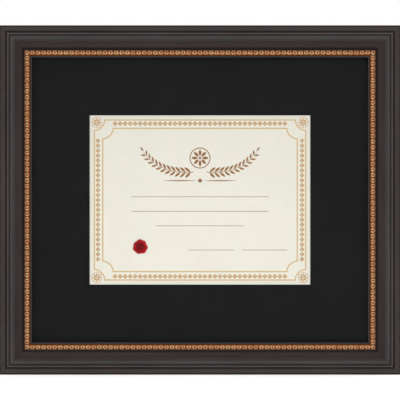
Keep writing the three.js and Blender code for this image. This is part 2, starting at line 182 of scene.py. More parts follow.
def saw(point, off_side):
    """Cuts through everything at a plane, takes off what lies on the given side, and closes the cut."""
    bpy.ops.mesh.select_all(action="SELECT")
    bpy.ops.mesh.bisect(plane_co=point, plane_no=off_side, use_fill=True, clear_outer=True)


def saw_mitres(upright):
    """Saws both ends of the bottom length, or of the upright left one, at 45 degrees."""
    play = mitre_gap / 2
    for end in (-1, 1):
        if upright:
            saw((-half_width, 0, end * (half_height - play)), (1, 0, end))
        else:
            saw((end * (half_width - play), 0, -half_height), (end, 0, 1))


def close_up():
    """Merges what lies together, turns the faces outwards and leaves edit mode."""
    bpy.ops.mesh.select_all(action="SELECT")
    bpy.ops.mesh.remove_doubles(threshold=weld_reach)
    bpy.ops.mesh.normals_make_consistent(inside=False)
    bpy.ops.object.mode_set(mode="OBJECT")


def mitred_length(name, outline, upright, arris):
    """A bar of this section for the bottom of the frame, or for its left side where it is upright. Its long
    edges are eased before the mitres are sawn."""
    if upright:
        section = [(-half_width + inward, back - forward, -half_height) for inward, forward in outline]
        run = (0, 0, 2 * half_height)
    else:
        section = [(-half_width, back - forward, -half_height + inward) for inward, forward in outline]
        run = (2 * half_width, 0, 0)
    piece = draw(name, section)
    extrude(run)
    close_up()
    ease_edges(piece, arris, rail_crease)
    bpy.ops.object.mode_set(mode="EDIT")
    saw_mitres(upright)
    close_up()
    return piece


def take_up(piece):
    """Makes this piece the only one selected, and the active one."""
    bpy.ops.object.select_all(action="DESELECT")
    piece.select_set(True)
    bpy.context.view_layer.objects.active = piece


def apply_modifier(piece, kind, **settings):
    take_up(piece)
    modifier = piece.modifiers.new(kind.lower(), kind)
    for setting, value in settings.items():
        setattr(modifier, setting, value)
    bpy.ops.object.modifier_apply(modifier=modifier.name)


def combine(piece, other, operation):
    """Cuts, joins or crosses a piece with another, which is used up."""
    apply_modifier(piece, "BOOLEAN", object=other, operation=operation, solver="EXACT")
    bpy.data.objects.remove(other)


def ease_edges(piece, width, angle=40):
    """Rounds the edges that are sharper than this angle, and shades the rest smooth."""
    limit = math.radians(angle)
    apply_modifier(piece, "BEVEL", width=width, segments=2, limit_method="ANGLE", angle_limit=limit)
    smooth(piece, angle)


def smooth(piece, angle):
    take_up(piece)
    bpy.ops.object.shade_smooth_by_angle(angle=math.radians(angle))


def prism(name, outline, shift):
    """A closed solid: an outline in space that is filled and extruded."""
    piece = draw(name, outline)
    bpy.ops.mesh.edge_face_add()
    extrude(shift)
    close_up()
    return piece


def copy_of(piece, name, matrix):
    twin = bpy.data.objects.new(name, piece.data.copy())
    twin.data.name = name
    twin.data.transform(matrix)
    bpy.context.scene.collection.objects.link(twin)
    return twin


def mark_place(piece, upright, stretch):
    """Marks each point with its place on the rail: along it, in from the outer edge, forward from the back.
    Every length is cut from another stretch of the timber."""
    places = piece.data.attributes.new("place", "FLOAT_VECTOR", "POINT")
    for vertex, place in zip(piece.data.vertices, places.data):
        x, y, z = vertex.co
        along, inward = (z, half_width - abs(x)) if upright else (x, half_height - abs(z))
        place.vector = (along + stretch, inward, back - y)


# The slots of the bent wedges, which are driven in across each mitre from the back.
nail_thickness = 0.8 * mm
nail_play = 0.1 * mm


def nail_slot(side_x, side_z, nail):
    """The slot of one wedge at this corner, open at the back: two legs that meet on the mitre."""
    low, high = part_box(f"v_nail_bottom_left_{nail}")
    near = low.x + half_width - nail_play
    far = low.x + half_width + nail_thickness + nail_play
    end = high.x + half_width + nail_play
    plan = [(near, near), (end, near), (end, far), (far, far), (far, end), (near, end)]
    mouth = back + mm
    corners = [(side_x * (half_width - a), mouth, side_z * (half_height - b)) for a, b in plan]
    return prism("slot", corners, (0, low.y - nail_play - mouth, 0))


# Of each pair of opposite sides the first is made, and the other is its copy, turned round by half a turn.
pairs = (("bottom", "top", False), ("left", "right", True))
half_turn = Matrix.Rotation(math.pi, 4, "Y")
rails = {}
for first, opposite, upright in pairs:
    rail = mitred_length(f"moulding_{first}", rail_outline(), upright, rail_arris)
    for end in (-1, 1):
        for nail in ("outer", "inner"):
            slot = nail_slot(-1, end, nail) if upright else nail_slot(end, -1, nail)
            combine(rail, slot, "DIFFERENCE")
    rails[first] = rail
    rails[opposite] = copy_of(rail, f"moulding_{opposite}", half_turn)


def srgb(red, green, blue):
    """A colour of a paint chart, in linear light."""
    parts = [c / 255 for c in (red, green, blue)]
    return (*(c / 12.92 if c < 0.04 else ((c + 0.055) / 1.055) ** 2.4 for c in parts), 1)


def add_node(tree, kind, inputs=None, **settings):
    """A shader node with these settings, whose inputs are linked or set."""
    node = tree.nodes.new(kind)
    for setting, value in settings.items():
        setattr(node, setting, value)
    for socket, value in (inputs or {}).items():
        if isinstance(value, bpy.types.NodeSocket):
            tree.links.new(value, node.inputs[socket])
        else:
            node.inputs[socket].default_value = value
    return node


def place_in_space(tree):
    return add_node(tree, "ShaderNodeTexCoord").outputs["Object"]


def marked(tree, attribute):
    """What the points of the mesh are marked with under this name."""
    return add_node(tree, "ShaderNodeAttribute", attribute_name=attribute).outputs["Vector"]


def axes_of(tree, vector):
    return add_node(tree, "ShaderNodeSeparateXYZ", {0: vector}).outputs


def calc(tree, operation, *values):
    return add_node(tree, "ShaderNodeMath", dict(enumerate(values)), operation=operation).outputs[0]


def span(tree, value, low, high, start=0.0, end=1.0):
    """A value that goes from start to end as another goes from low to high."""
    inputs = {"Value": value, "From Min": low, "From Max": high, "To Min": start, "To Max": end}
    return add_node(tree, "ShaderNodeMapRange", inputs).outputs[0]


def noise(tree, vector, scale, detail=3.0, roughness=0.5):
    inputs = {"Vector": vector, "Scale": scale, "Detail": detail, "Roughness": roughness}
    return add_node(tree, "ShaderNodeTexNoise", inputs).outputs[0]


def stretched(tree, vector, scale):
    """Coordinates drawn out by a scale for each axis."""
    inputs = {0: vector, 1: scale}
    return add_node(tree, "ShaderNodeVectorMath", inputs, operation="MULTIPLY").outputs[0]


def blend(tree, factor, first, second, how="MIX"):
    inputs = {0: factor, 6: first, 7: second}
    return add_node(tree, "ShaderNodeMix", inputs, data_type="RGBA", blend_type=how).outputs[2]


def colour_ramp(tree, value, stops):
    """A colour that runs through these stops, each a position from 0 to 1 and a colour."""
    ramp = add_node(tree, "ShaderNodeValToRGB", {0: value})
    elements = ramp.color_ramp.elements
    while len(elements) < len(stops):
        elements.new(1.0)
    for element, (position, colour) in zip(elements, stops):
        element.position = position
        element.color = colour
    return ramp.outputs[0]


def bump(tree, height, strength, distance):
    inputs = {"Height": height, "Strength": strength, "Distance": distance}
    return add_node(tree, "ShaderNodeBump", inputs).outputs[0]


def new_material(name, **plain):
    """A material with its Principled shader, and the shader's inputs that are the same all over."""
    material = bpy.data.materials.new(name)
    material.use_nodes = True
    surface = material.node_tree.nodes["Principled BSDF"]
    for socket, value in plain.items():
        surface.inputs[socket.replace("_", " ")].default_value = value
    return material, material.node_tree, surface


def connect(tree, surface, **sources):
    for socket, source in sources.items():
        tree.links.new(source, surface.inputs[socket.replace("_", " ")])


def new_group(name, inputs, outputs):
    """A shader node group with these sockets, each a name and its kind."""
    group = bpy.data.node_groups.new(name, "ShaderNodeTree")
    for way, sockets in (("INPUT", inputs), ("OUTPUT", outputs)):
        for socket, kind in sockets.items():
            group.interface.new_socket(socket, in_out=way, socket_type=f"NodeSocket{kind}")
    given = group.nodes.new("NodeGroupInput").outputs
    return group, given, group.nodes.new("NodeGroupOutput")


def use_group(tree, group, inputs):
    return add_node(tree, "ShaderNodeGroup", inputs, node_tree=group).outputs


def timber_grain_group():
    """Straight-grained timber: long streaks, short open pores, clouding along the length, and the slow change
    from rubbing by hand."""
    outputs = {"Streaks": "Float", "Pores": "Float", "Clouding": "Float", "Rubbing": "Float"}
    group, given, put_out = new_group("timber_grain", {"Place": "Vector"}, outputs)
    along, inward, forward = axes_of(group, given["Place"])
    across = calc(group, "SUBTRACT", inward, forward)
    grain = add_node(group, "ShaderNodeCombineXYZ", {0: along, 1: across}).outputs[0]
    streaks = noise(group, stretched(group, grain, (22, 1100, 1)), 1.0, 4.0, 0.6)
    pores = span(group, noise(group, stretched(group, grain, (160, 4200, 1)), 1.0, 2.0), 0.62, 0.72)
    clouding = noise(group, stretched(group, grain, (24, 150, 1)), 1.0, 2.0)
    rubbing = noise(group, stretched(group, grain, (9, 30, 1)), 1.0, 1.0)
    connect(group, put_out, Streaks=streaks, Pores=pores, Clouding=clouding, Rubbing=rubbing)
    return group


timber_grain = timber_grain_group()
stained = srgb(64, 59, 58)
warm_stain = srgb(55, 46, 45)
rubbed = srgb(62, 58, 57)
crest_rub_and_highlight = srgb(71, 70, 71)
astragal_rub_and_highlight = srgb(85, 82, 80)
painted_edge_shade = srgb(44, 25, 25)
toned_red = srgb(56, 41, 41)
painted_groove_light = srgb(70, 64, 62)
pore_and_shade_black = srgb(22, 13, 10)


def mahogany_material():
    """Dark stained mahogany, rubbed on the shoulder and toned red in the step groove. The crest and the
    astragal are rubbed and carry a painted highlight, the second groove is painted paler to lift its shade,
    and painted shade darkens the rounded outer edge and the foot of the scoop down to the band."""
    material, tree, surface = new_material("mahogany", Specular_IOR_Level=0.22)
    place = marked(tree, "place")
    inward = axes_of(tree, place)[1]
    grain = use_group(tree, timber_grain, {"Place": place})
    ease = 0.3 * mm
    slope_start = scoop_start + crest_round + crest_run
    finish_and_painted_light = [
        # Painted shade on the rounded outer edge.
        (0, painted_edge_shade),
        (shoulder_round, painted_edge_shade),
        (shoulder_round + 3 * ease, rubbed),
        (step_start - ease, rubbed),
        (step_start + ease, toned_red),
        (astragal_start - ease, toned_red),
        # The astragal is rubbed pale and carries a painted highlight.
        (astragal_start + ease, astragal_rub_and_highlight),
        (groove_start - ease, astragal_rub_and_highlight),
        # The second groove is painted paler than the stain: painted light that lifts the shade in it.
        (groove_start + ease, painted_groove_light),
        (scoop_start - ease, painted_groove_light),
        # The crest is rubbed pale and carries a painted highlight.
        (scoop_start + crest_round / 2, crest_rub_and_highlight),
        (scoop_start + crest_round, crest_rub_and_highlight),
        (slope_start + crest_run / 2, stained),
        # From here down to the band the colours darken into painted shade, black in the quirk and over the
        # channel.
        (quirk_start - foot_run, warm_stain),
        (quirk_start - foot_run / 2, toned_red),
        (quirk_start - foot_run / 4, pore_and_shade_black),
        (lip_start, pore_and_shade_black),
        (lip_start + 3 * ease, toned_red),
        (lip_start + 5 * ease, stained),
        (rail_width, stained),
    ]
    across = calc(tree, "DIVIDE", inward, rail_width)
    # The ramp holds the stain together with the painted highlights and painted shade across the profile.
    stain = colour_ramp(tree, across, [(at / rail_width, colour) for at, colour in finish_and_painted_light])
    sheen = span(tree, grain["Rubbing"], 0.3, 0.7, 0.9, 1.1)
    shade = calc(tree, "MULTIPLY", sheen, span(tree, grain["Streaks"], 0.25, 0.75, 0.82, 1.18))
    streaked = blend(tree, 1.0, stain, shade, "MULTIPLY")
    tint = blend(tree, span(tree, grain["Clouding"], 0.3, 0.7), (0.91, 1.0, 0.97, 1), (1.12, 0.97, 0.98, 1))
    clouded = blend(tree, 1.0, streaked, tint, "MULTIPLY")
    open_grain = calc(tree, "MULTIPLY", grain["Pores"], 0.6)
    colour = blend(tree, open_grain, clouded, pore_and_shade_black)
    satin = calc(tree, "ADD", span(tree, grain["Streaks"], 0.2, 0.8, 0.42, 0.56), open_grain)
    dull_edge = span(tree, inward, shoulder_round, shoulder_round + 2 * ease, 0.35, 0.0)
    roughness = calc(tree, "ADD", satin, dull_edge)
    height = calc(tree, "SUBTRACT", grain["Streaks"], grain["Pores"])
    normal = bump(tree, height, 0.12, 0.05 * mm)
    connect(tree, surface, Base_Color=colour, Roughness=roughness, Normal=normal)
    return material


def bare_timber_material():
    """The unfinished back of the moulding, with stain that ran round from the outer side and a dark line of
    glue along each mitre."""
    material, tree, surface = new_material("bare_timber", Specular_IOR_Level=0.25)
    place = marked(tree, "place")
    inward = axes_of(tree, place)[1]
    grain = use_group(tree, timber_grain, {"Place": place})
    pale = srgb(198, 158, 116)
    deep = srgb(160, 114, 76)
    wood = blend(tree, grain["Streaks"], pale, deep)
    pored = blend(tree, calc(tree, "MULTIPLY", grain["Pores"], 0.5), wood, srgb(112, 74, 46))
    edge = calc(tree, "ADD", inward, span(tree, grain["Clouding"], 0.3, 0.7, -1.2 * mm, 1.2 * mm))
    overspray = span(tree, edge, 1.2 * mm, 4.5 * mm, 0.9, 0.0)
    sprayed = blend(tree, overspray, pored, stained)
    axes = axes_of(tree, place_in_space(tree))
    from_side = calc(tree, "SUBTRACT", half_width, calc(tree, "ABSOLUTE", axes[0]))
    from_foot = calc(tree, "SUBTRACT", half_height, calc(tree, "ABSOLUTE", axes[2]))
    off_mitre = calc(tree, "ABSOLUTE", calc(tree, "SUBTRACT", from_side, from_foot))
    glue_line = span(tree, off_mitre, 0.2 * mm, 0.9 * mm, 0.75, 0.0)
    colour = blend(tree, glue_line, sprayed, srgb(104, 70, 44))
    roughness = span(tree, grain["Streaks"], 0.2, 0.8, 0.62, 0.8)
    height = calc(tree, "SUBTRACT", grain["Streaks"], grain["Pores"])
    connect(tree, surface, Base_Color=colour, Roughness=roughness, Normal=bump(tree, height, 0.3, 0.1 * mm))
    return material


mahogany = mahogany_material()
bare_timber = bare_timber_material()
for stretch, (side, rail) in enumerate(rails.items()):
    upright = side in ("left", "right")
    mark_place(rail, upright, stretch)
    rail.data.materials.append(mahogany)
    rail.data.materials.append(bare_timber)
    for face in rail.data.polygons:
        inward = half_width - abs(face.center.x) if upright else half_height - abs(face.center.z)
        in_rabbet = inward > rabbet_wall - mm and back - face.center.y < rabbet_depth + layer_gap
        at_back = face.normal.y > 0.8
        face.material_index = 1 if at_back or in_rabbet else 0
    smooth(rail, rail_crease)
    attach(rail, "frame")
    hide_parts(f"rail_{side}")

# Gilt band
# Four strips of pressed composition let into the rails' channels, each with a row of ring-shaped beads, and
# a whole bead on each mitre. They are gilded with leaf, with umber toner and painted shade in the hollows,
# painted shading along the lip and painted highlights on the rings.
ground_rise = 0.4 * mm
strip_chamfer = 0.25 * mm
strip_arris = 0.05 * mm
strip_low = band_start + strip_gap
strip_high = lip_start - strip_gap
strip_middle = (strip_low + strip_high) / 2
strip_floor = channel_floor + strip_gap
strip_ground = lip_height + ground_rise

# The beads, and how unevenly they are pressed: how far off their line, how askew, and how much smaller.
bead_pitch = 6.86 * mm
bead_foot = 3.1 * mm
bead_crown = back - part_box("gilt_bead_bottom")[0].y - strip_ground
bead_sides = 14
bead_crease = 62
bead_stray = 0.06 * mm
bead_lean = 0.06
bead_least = 0.96


def turned(name, profile, sides):
    """A solid turned about Y, from a profile of (radius, y) that starts and ends on the axis."""
    piece = draw(name, [(radius, y, 0) for radius, y in profile], closed=False)
    bpy.ops.mesh.spin(steps=sides, angle=math.tau, center=(0, 0, 0), axis=(0, 1, 0))
    close_up()
    return piece


def joined(name, shapes):
    take_up(shapes[0])
    for shape in shapes:
        shape.select_set(True)
    bpy.ops.object.join()
    shapes[0].name = shapes[0].data.name = name
    return shapes[0]


def bead_shape():
    """One bead, facing -Y over its ground: a ring turned from a few points, with a dimple in its crown. The
    points are shares of the bead's foot and of its crown."""
    points = [(0, -0.2), (1.06, -0.2), (0.97, 0.45), (0.81, 0.88), (0.6, 1), (0.36, 0.7), (0, 0.25)]
    return turned("bead", [(reach * bead_foot, -rise * bead_crown) for reach, rise in points], bead_sides)


def bead_steps(upright):
    """How far it is from the bead on one mitre to the bead on the other, and how many beads on."""
    run = 2 * (half_height if upright else half_width) - 2 * strip_middle
    return run, round(run / bead_pitch)


def bead_row(bead, upright, seed):
    """The beads of one strip, pressed a little unevenly and sawn with it at the mitres."""
    uneven = random.Random(seed)
    run, count = bead_steps(upright)
    row = []
    for i in range(count + 1):
        along = (i / count - 0.5) * run
        inward = strip_middle + uneven.uniform(-bead_stray, bead_stray)
        across, up = (-half_width + inward, along) if upright else (along, -half_height + inward)
        turn = Matrix.Rotation(uneven.uniform(0, math.tau), 4, "Y")
        lean = Matrix.Rotation(uneven.uniform(-bead_lean, bead_lean), 4, "X")
        size = Matrix.Scale(uneven.uniform(bead_least, 1.0), 4)
        seat = Matrix.Translation((across, back - strip_ground, up))
        row.append(copy_of(bead, "bead", seat @ lean @ turn @ size))
    beads = joined("beads", row)
    bpy.ops.object.mode_set(mode="EDIT")
    saw_mitres(upright)
    close_up()
    return beads


def mark_beads(strip, upright):
    """Marks each point with its place by beads along the strip, its place across it, and the beads' pitch.
    Each strip counts its beads from another hundred, so that no two share a number."""
    beads = strip.data.attributes.new("bead", "FLOAT_VECTOR", "POINT")
    run, count = bead_steps(upright)
    pitch = run / count
    for place, bead in zip(strip.data.attributes["place"].data, beads.data):
        along, inward = place.vector[:2]
        stretch = round(along)
        bead.vector = ((along - stretch + run / 2) / pitch + 100 * stretch, inward - strip_middle, pitch)


def gilt_material():
    """Aged gold leaf on red clay, darker clay in the dimples, and umber toner and painted shade between the
    beads. Painted highlights make each ring pale on the two sides that face its neighbours and cross the gaps
    at mid-band; painted shading makes each ring deep orange toward the sight edge and pinkish toward the
    scoop; painted shadow darkens the ground on the scoop side and a line beside the scoop."""
    material, tree, surface = new_material("aged_gilt", Specular_IOR_Level=0.1)
    steps, across, pitch = axes_of(tree, marked(tree, "bead"))
    number = calc(tree, "ROUND", steps)
    along = calc(tree, "MULTIPLY", calc(tree, "SUBTRACT", steps, number), pitch)
    on_bead = add_node(tree, "ShaderNodeCombineXYZ", {0: along, 1: across}).outputs[0]
    reach = add_node(tree, "ShaderNodeVectorMath", {0: on_bead}, operation="LENGTH").outputs["Value"]
    ring = calc(tree, "DIVIDE", reach, bead_foot)
    chance = add_node(tree, "ShaderNodeTexWhiteNoise", {"W": number}, noise_dimensions="1D").outputs["Value"]
    coordinates = place_in_space(tree)
    patches = noise(tree, coordinates, 520.0, 3.0)
    specks = noise(tree, coordinates, 2600.0, 2.0)
    umber = srgb(88, 48, 14)
    clay = srgb(134, 90, 56)
    painted_shadow_umber = srgb(100, 66, 42)
    amber = srgb(170, 106, 54)
    leaf = srgb(218, 156, 98)
    painted_highlight_leaf = srgb(255, 228, 188)
    dimple = [(0.0, clay), (0.26, clay), (0.44, amber)]
    # Each ring darkens to umber toward its foot: toner, and painted shade where the beads meet.
    crown = [(0.62, leaf), (0.77, leaf), (0.88, amber), (0.96, umber)]
    ramp_end = 1.12
    gold = colour_ramp(tree, calc(tree, "DIVIDE", ring, ramp_end), dimple + crown)
    # Painted shading across each ring: deep orange toward the sight edge and pinkish toward the scoop.
    lip_side = span(tree, across, 0.4 * bead_foot, 0.95 * bead_foot, 0.0, 0.8)
    lip_shading = blend(tree, lip_side, gold, srgb(222, 136, 62))
    scoop_side = span(tree, across, 0.25 * bead_foot, -0.2 * bead_foot, 0.0, 0.8)
    scoop_ring = calc(tree, "MULTIPLY", scoop_side, span(tree, ring, 0.3, 0.6))
    scoop_shading = blend(tree, scoop_ring, lip_shading, srgb(168, 122, 98))
    # Painted highlights: each ring is painted pale on the two sides that face its neighbours, in patches and
    # more toward the lip.
    flank = calc(tree, "DIVIDE", calc(tree, "ABSOLUTE", along), calc(tree, "ADD", reach, 0.1 * mm))
    on_flank = span(tree, flank, 0.4, 0.85)
    on_crown = calc(tree, "MULTIPLY", span(tree, ring, 0.3, 0.52), span(tree, ring, 1.06, 0.88))
    toward_lip = span(tree, across, -0.3 * bead_foot, 0.25 * bead_foot, 0.05, 1.0)
    flank_highlight = calc(tree, "MULTIPLY", on_flank, calc(tree, "MULTIPLY", on_crown, span(tree, patches, 0.64, 0.44)))
    lit = calc(tree, "MULTIPLY", flank_highlight, toward_lip)
    with_flank_highlight = blend(tree, lit, scoop_shading, painted_highlight_leaf)
    # Between the beads the ground shows umber: partly toner, partly painted shade.
    hollow = span(tree, ring, 0.95, 1.06, 0.0, 0.85)
    # A painted highlight across the gaps between the beads at mid-band.
    bridge = span(tree, calc(tree, "ABSOLUTE", across), 0.5 * bead_foot, 0.1 * bead_foot, 0.0, 0.25)
    gap_highlight = blend(tree, bridge, umber, leaf)
    # Painted shadow on the ground between the beads on the scoop side.
    shadowed = blend(tree, span(tree, across, -0.3 * bead_foot, -0.7 * bead_foot), gap_highlight, painted_shadow_umber)
    ground = blend(tree, span(tree, across, 0.3 * bead_foot, 0.9 * bead_foot), shadowed, srgb(154, 80, 16))
    greened = blend(tree, span(tree, chance, 0.65, 1.0, 0.0, 0.25), with_flank_highlight, srgb(184, 156, 92))
    own_tone = blend(tree, span(tree, chance, 0.35, 0.0, 0.0, 0.25), greened, srgb(176, 100, 66))
    worn = blend(tree, span(tree, patches, 0.56, 0.75, 0.0, 0.5), own_tone, srgb(130, 66, 30))
    specked = blend(tree, span(tree, specks, 0.6, 0.75, 0.0, 0.35), worn, umber)
    toned_and_shaded = blend(tree, hollow, specked, ground)
    # A painted shadow: a dark line along the strip beside the scoop.
    beside_scoop = span(tree, across, -0.92 * bead_foot, -1.06 * bead_foot, 0.0, 0.9)
    colour = blend(tree, beside_scoop, toned_and_shaded, pore_and_shade_black)
    # Where the highlight is painted, the leaf is made less metallic so that it shows paler.
    on_leaf = span(tree, ring, 0.95, 1.1, 0.75, 0.35)
    metal = calc(tree, "SUBTRACT", on_leaf, calc(tree, "MULTIPLY", lit, 0.65))
    roughness = span(tree, patches, 0.3, 0.7, 0.22, 0.42)
    normal = bump(tree, calc(tree, "ADD", patches, specks), 0.2, 0.1 * mm)
    connect(tree, surface, Base_Color=colour, Metallic=metal, Roughness=roughness, Normal=normal)
    return material


def strip_outline():
    return [
        (strip_low, strip_floor),
        (strip_low, strip_ground - strip_chamfer),
        (strip_low + strip_chamfer, strip_ground),
        (strip_high - strip_chamfer, strip_ground),
        (strip_high, strip_ground - strip_chamfer),
        (strip_high, strip_floor),
    ]


aged_gilt = gilt_material()
bead = bead_shape()
strips = {}
for first, opposite, upright in pairs:
    strip = mitred_length(f"gilt_strip_{first}", strip_outline(), upright, strip_arris)
    combine(strip, bead_row(bead, upright, first), "UNION")
    strips[first] = strip
    strips[opposite] = copy_of(strip, f"gilt_strip_{opposite}", half_turn)
bpy.data.objects.remove(bead)
for stretch, (side, strip) in enumerate(strips.items()):
    upright = side in ("left", "right")
    mark_place(strip, upright, stretch)
    mark_beads(strip, upright)
    strip.data.materials.append(aged_gilt)
    smooth(strip, bead_crease)
    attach(strip, "frame")
    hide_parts(f"gilt_bead_{side}")

# Bent wedges
# Eight bent strips of zinc-plated steel, two across the back of each mitre. They are driven into the glued
# joint from behind, to just below the wood.


def handling_group():
    """What handling leaves on plated metal: fine scratches and dull blotches."""
    outputs = {"Scratches": "Float", "Blotches": "Float"}
    group, given, put_out = new_group("handling", {"Coordinates": "Vector"}, outputs)
    one_way = stretched(group, given["Coordinates"], (300, 300, 6000))
    other_way = stretched(group, given["Coordinates"], (5200, 300, 400))
    first = span(group, noise(group, one_way, 1.0, 2.0), 0.6, 0.7)
    second = span(group, noise(group, other_way, 1.0, 2.0), 0.62, 0.72)
    blotches = noise(group, given["Coordinates"], 240.0, 4.0)
    connect(group, put_out, Scratches=calc(group, "MAXIMUM", first, second), Blotches=blotches)
    return group


handling = handling_group()


def plated_metal(name, bright, dull, shine):
    """Plated metal that has been handled: brighter where it is scratched, duller in blotches."""
    material, tree, surface = new_material(name, Metallic=1.0)
    coordinates = place_in_space(tree)
    marks = use_group(tree, handling, {"Coordinates": coordinates})
    colour = blend(tree, span(tree, marks["Blotches"], 0.35, 0.7), bright, dull)
    scratched = calc(tree, "MULTIPLY", marks["Scratches"], 0.18)
    roughness = calc(tree, "SUBTRACT", span(tree, marks["Blotches"], 0.3, 0.7, shine, shine + 0.2), scratched)
    normal = bump(tree, marks["Scratches"], 0.1, 0.02 * mm)
    connect(tree, surface, Base_Color=colour, Roughness=roughness, Normal=normal)
    return material


def dress(node, material):
    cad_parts[node].material_slots[0].material = material


zinc_plate = plated_metal("zinc_plate", srgb(206, 209, 212), srgb(160, 164, 170), 0.26)
for corner in ("bottom_left", "bottom_right", "top_left", "top_right"):
    for nail in ("outer", "inner"):
        dress(f"v_nail_{corner}_{nail}", zinc_plate)

# Glass
# One pane of 2 mm picture glass, which lies loose in the rabbet against its front. It is coated so that it
# mirrors nothing.


def picture_glass_material():
    """Clear glass that lets the lamps through to the mat, with the faint uneven tint of its coating."""
    plain = {"Roughness": 0.0, "Transmission_Weight": 1.0, "IOR": 1.0}
    material, tree, surface = new_material("picture_glass", **plain)
    coordinates = place_in_space(tree)
    coating = noise(tree, coordinates, 30.0, 2.0)
    tint = blend(tree, span(tree, coating, 0.3, 0.7), srgb(255, 255, 255), srgb(254, 255, 254))
    connect(tree, surface, Base_Color=tint)
    lamp_ray = add_node(tree, "ShaderNodeLightPath").outputs["Is Shadow Ray"]
    clear = add_node(tree, "ShaderNodeBsdfTransparent").outputs[0]
    mixed = add_node(tree, "ShaderNodeMixShader", {0: lamp_ray, 1: surface.outputs[0], 2: clear})
    tree.links.new(mixed.outputs[0], tree.nodes["Material Output"].inputs["Surface"])
    return material


dress("glazing", picture_glass_material())

# Window mat
# Black solid-core mat board, laid behind the glass. Its window is cut with a slanted knife, and the bevel
# that the cut leaves is as black as the face.


def paper_tooth_group():
    """The tooth of paper and board: fine fibres, and slow unevenness of the sheet."""
    inputs = {"Coordinates": "Vector", "Fineness": "Float"}
    group, given, put_out = new_group("paper_tooth", inputs, {"Fibres": "Float", "Formation": "Float"})
    fibres = noise(group, given["Coordinates"], given["Fineness"], 5.0, 0.65)
    formation = noise(group, given["Coordinates"], 45.0, 3.0)
    connect(group, put_out, Fibres=fibres, Formation=formation)
    return group


paper_tooth = paper_tooth_group()


def board_material(name, light, dark, fineness, relief, gloss=0.15):
    """Paper or board: two tints that its fibres and its formation mix, and a rough face."""
    material, tree, surface = new_material(name, Specular_IOR_Level=gloss)
    coordinates = place_in_space(tree)
    tooth = use_group(tree, paper_tooth, {"Coordinates": coordinates, "Fineness": fineness})
    by_fibres = calc(tree, "MULTIPLY", tooth["Fibres"], 0.6)
    by_formation = calc(tree, "MULTIPLY", tooth["Formation"], 0.4)
    mixed = calc(tree, "ADD", by_fibres, by_formation)
    colour = blend(tree, span(tree, mixed, 0.3, 0.7), dark, light)
    roughness = span(tree, tooth["Fibres"], 0.3, 0.7, 0.85, 0.97)
    normal = bump(tree, tooth["Fibres"], relief, 0.05 * mm)
    connect(tree, surface, Base_Color=colour, Roughness=roughness, Normal=normal)
    return material


dress("mat_board", board_material("black_mat", srgb(32, 32, 32), srgb(27, 27, 27), 2600.0, 0.3, gloss=0.05))

# Certificate
# An ivory sheet with a printed border of rules and lozenges, a laurel heading, ruled lines to write on, and
# a wax seal. The inks stand a little proud, as from an engraved plate.
ink_height = 0.03 * mm
paper_arris = 0.05 * mm
paper_low, paper_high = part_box("certificate_sheet")
paper_face = paper_low.y
paper_width = paper_high.x - paper_low.x
paper_height = paper_high.z - paper_low.z


def sheet_of_paper():
    """The sheet: a cube drawn to size, with the soft edges of cut paper."""
    bpy.ops.object.select_all(action="DESELECT")
    bpy.ops.mesh.primitive_cube_add(size=1, location=(paper_low + paper_high) / 2)
    bpy.context.object.scale = paper_high - paper_low
    sheet = take_in("certificate_paper")
    ease_edges(sheet, paper_arris)
    return sheet


def printed(name, outline):
    """An inked shape on the sheet, from an outline of (across, up)."""
    return prism(name, [(x, paper_face, z) for x, z in outline], (0, -ink_height, 0))


def notched(width, height, notch):
    """A rectangle whose corners are cut out by quarter circles."""
    outline = []
    corners = ((1, 1, 270), (-1, 1, 360), (-1, -1, 90), (1, -1, 180))
    for side_x, side_z, start in corners:
        outline += arc((side_x * width / 2, side_z * height / 2), notch, start, start - 90, 8)
    return outline


def printed_ring(name, outline, thickness):
    """A line of ink that follows an outline: a face, inset, with its middle taken out."""
    ring = draw(name, [(x, paper_face, z) for x, z in outline])
    bpy.ops.mesh.edge_face_add()
    bpy.ops.mesh.inset(thickness=thickness, use_even_offset=True)
    bpy.ops.mesh.delete(type="FACE")
    bpy.ops.mesh.select_all(action="SELECT")
    extrude((0, -ink_height, 0))
    close_up()
    return ring


def pointed(length, width):
    """A leaf, a swelled rule or a petal: two arcs that meet in points at its ends."""
    radius = (length**2 / 4 + width**2 / 4) / width
    half_angle = math.degrees(math.asin(length / 2 / radius))
    lower = arc((0, radius - width / 2), radius, 270 - half_angle, 270 + half_angle, 8)
    upper = arc((0, width / 2 - radius), radius, 90 - half_angle, 90 + half_angle, 8)
    return lower + upper[1:-1]


def circle(radius, sides):
    return arc((0, 0), radius, 0, 360 - 360 / sides, sides - 1)


def moved(outline, x=0.0, z=0.0, turn=0.0):
    """An outline turned by this angle in degrees, and moved."""
    cos, sin = math.cos(math.radians(turn)), math.sin(math.radians(turn))
    return [(x + a * cos - b * sin, z + a * sin + b * cos) for a, b in outline]


def ink_material(name, ink, thin):
    """Printing ink on paper: solid, with a little of the sheet's tooth showing through."""
    material, tree, surface = new_material(name, Specular_IOR_Level=0.3)
    coordinates = place_in_space(tree)
    tooth = use_group(tree, paper_tooth, {"Coordinates": coordinates, "Fineness": 3000.0})
    colour = blend(tree, span(tree, tooth["Fibres"], 0.45, 0.75, 0.0, 0.7), ink, thin)
    roughness = span(tree, tooth["Formation"], 0.3, 0.7, 0.45, 0.65)
    connect(tree, surface, Base_Color=colour, Roughness=roughness)
    return material


# The border: two pale rules round a row of open lozenges, with a rosette in each notched corner.
border_inset = 8.1 * mm
border_band = 10.4 * mm
border_notch = 13.0 * mm
rule_width = 1.5 * mm
lozenge_pitch = 6.2 * mm
lozenge_half = 3.0 * mm
lozenge_line = 1.15 * mm
lozenge_dot = 0.7 * mm
rosette_radius = 0.5 * border_notch
rosette_inset = border_inset + 0.3 * border_notch


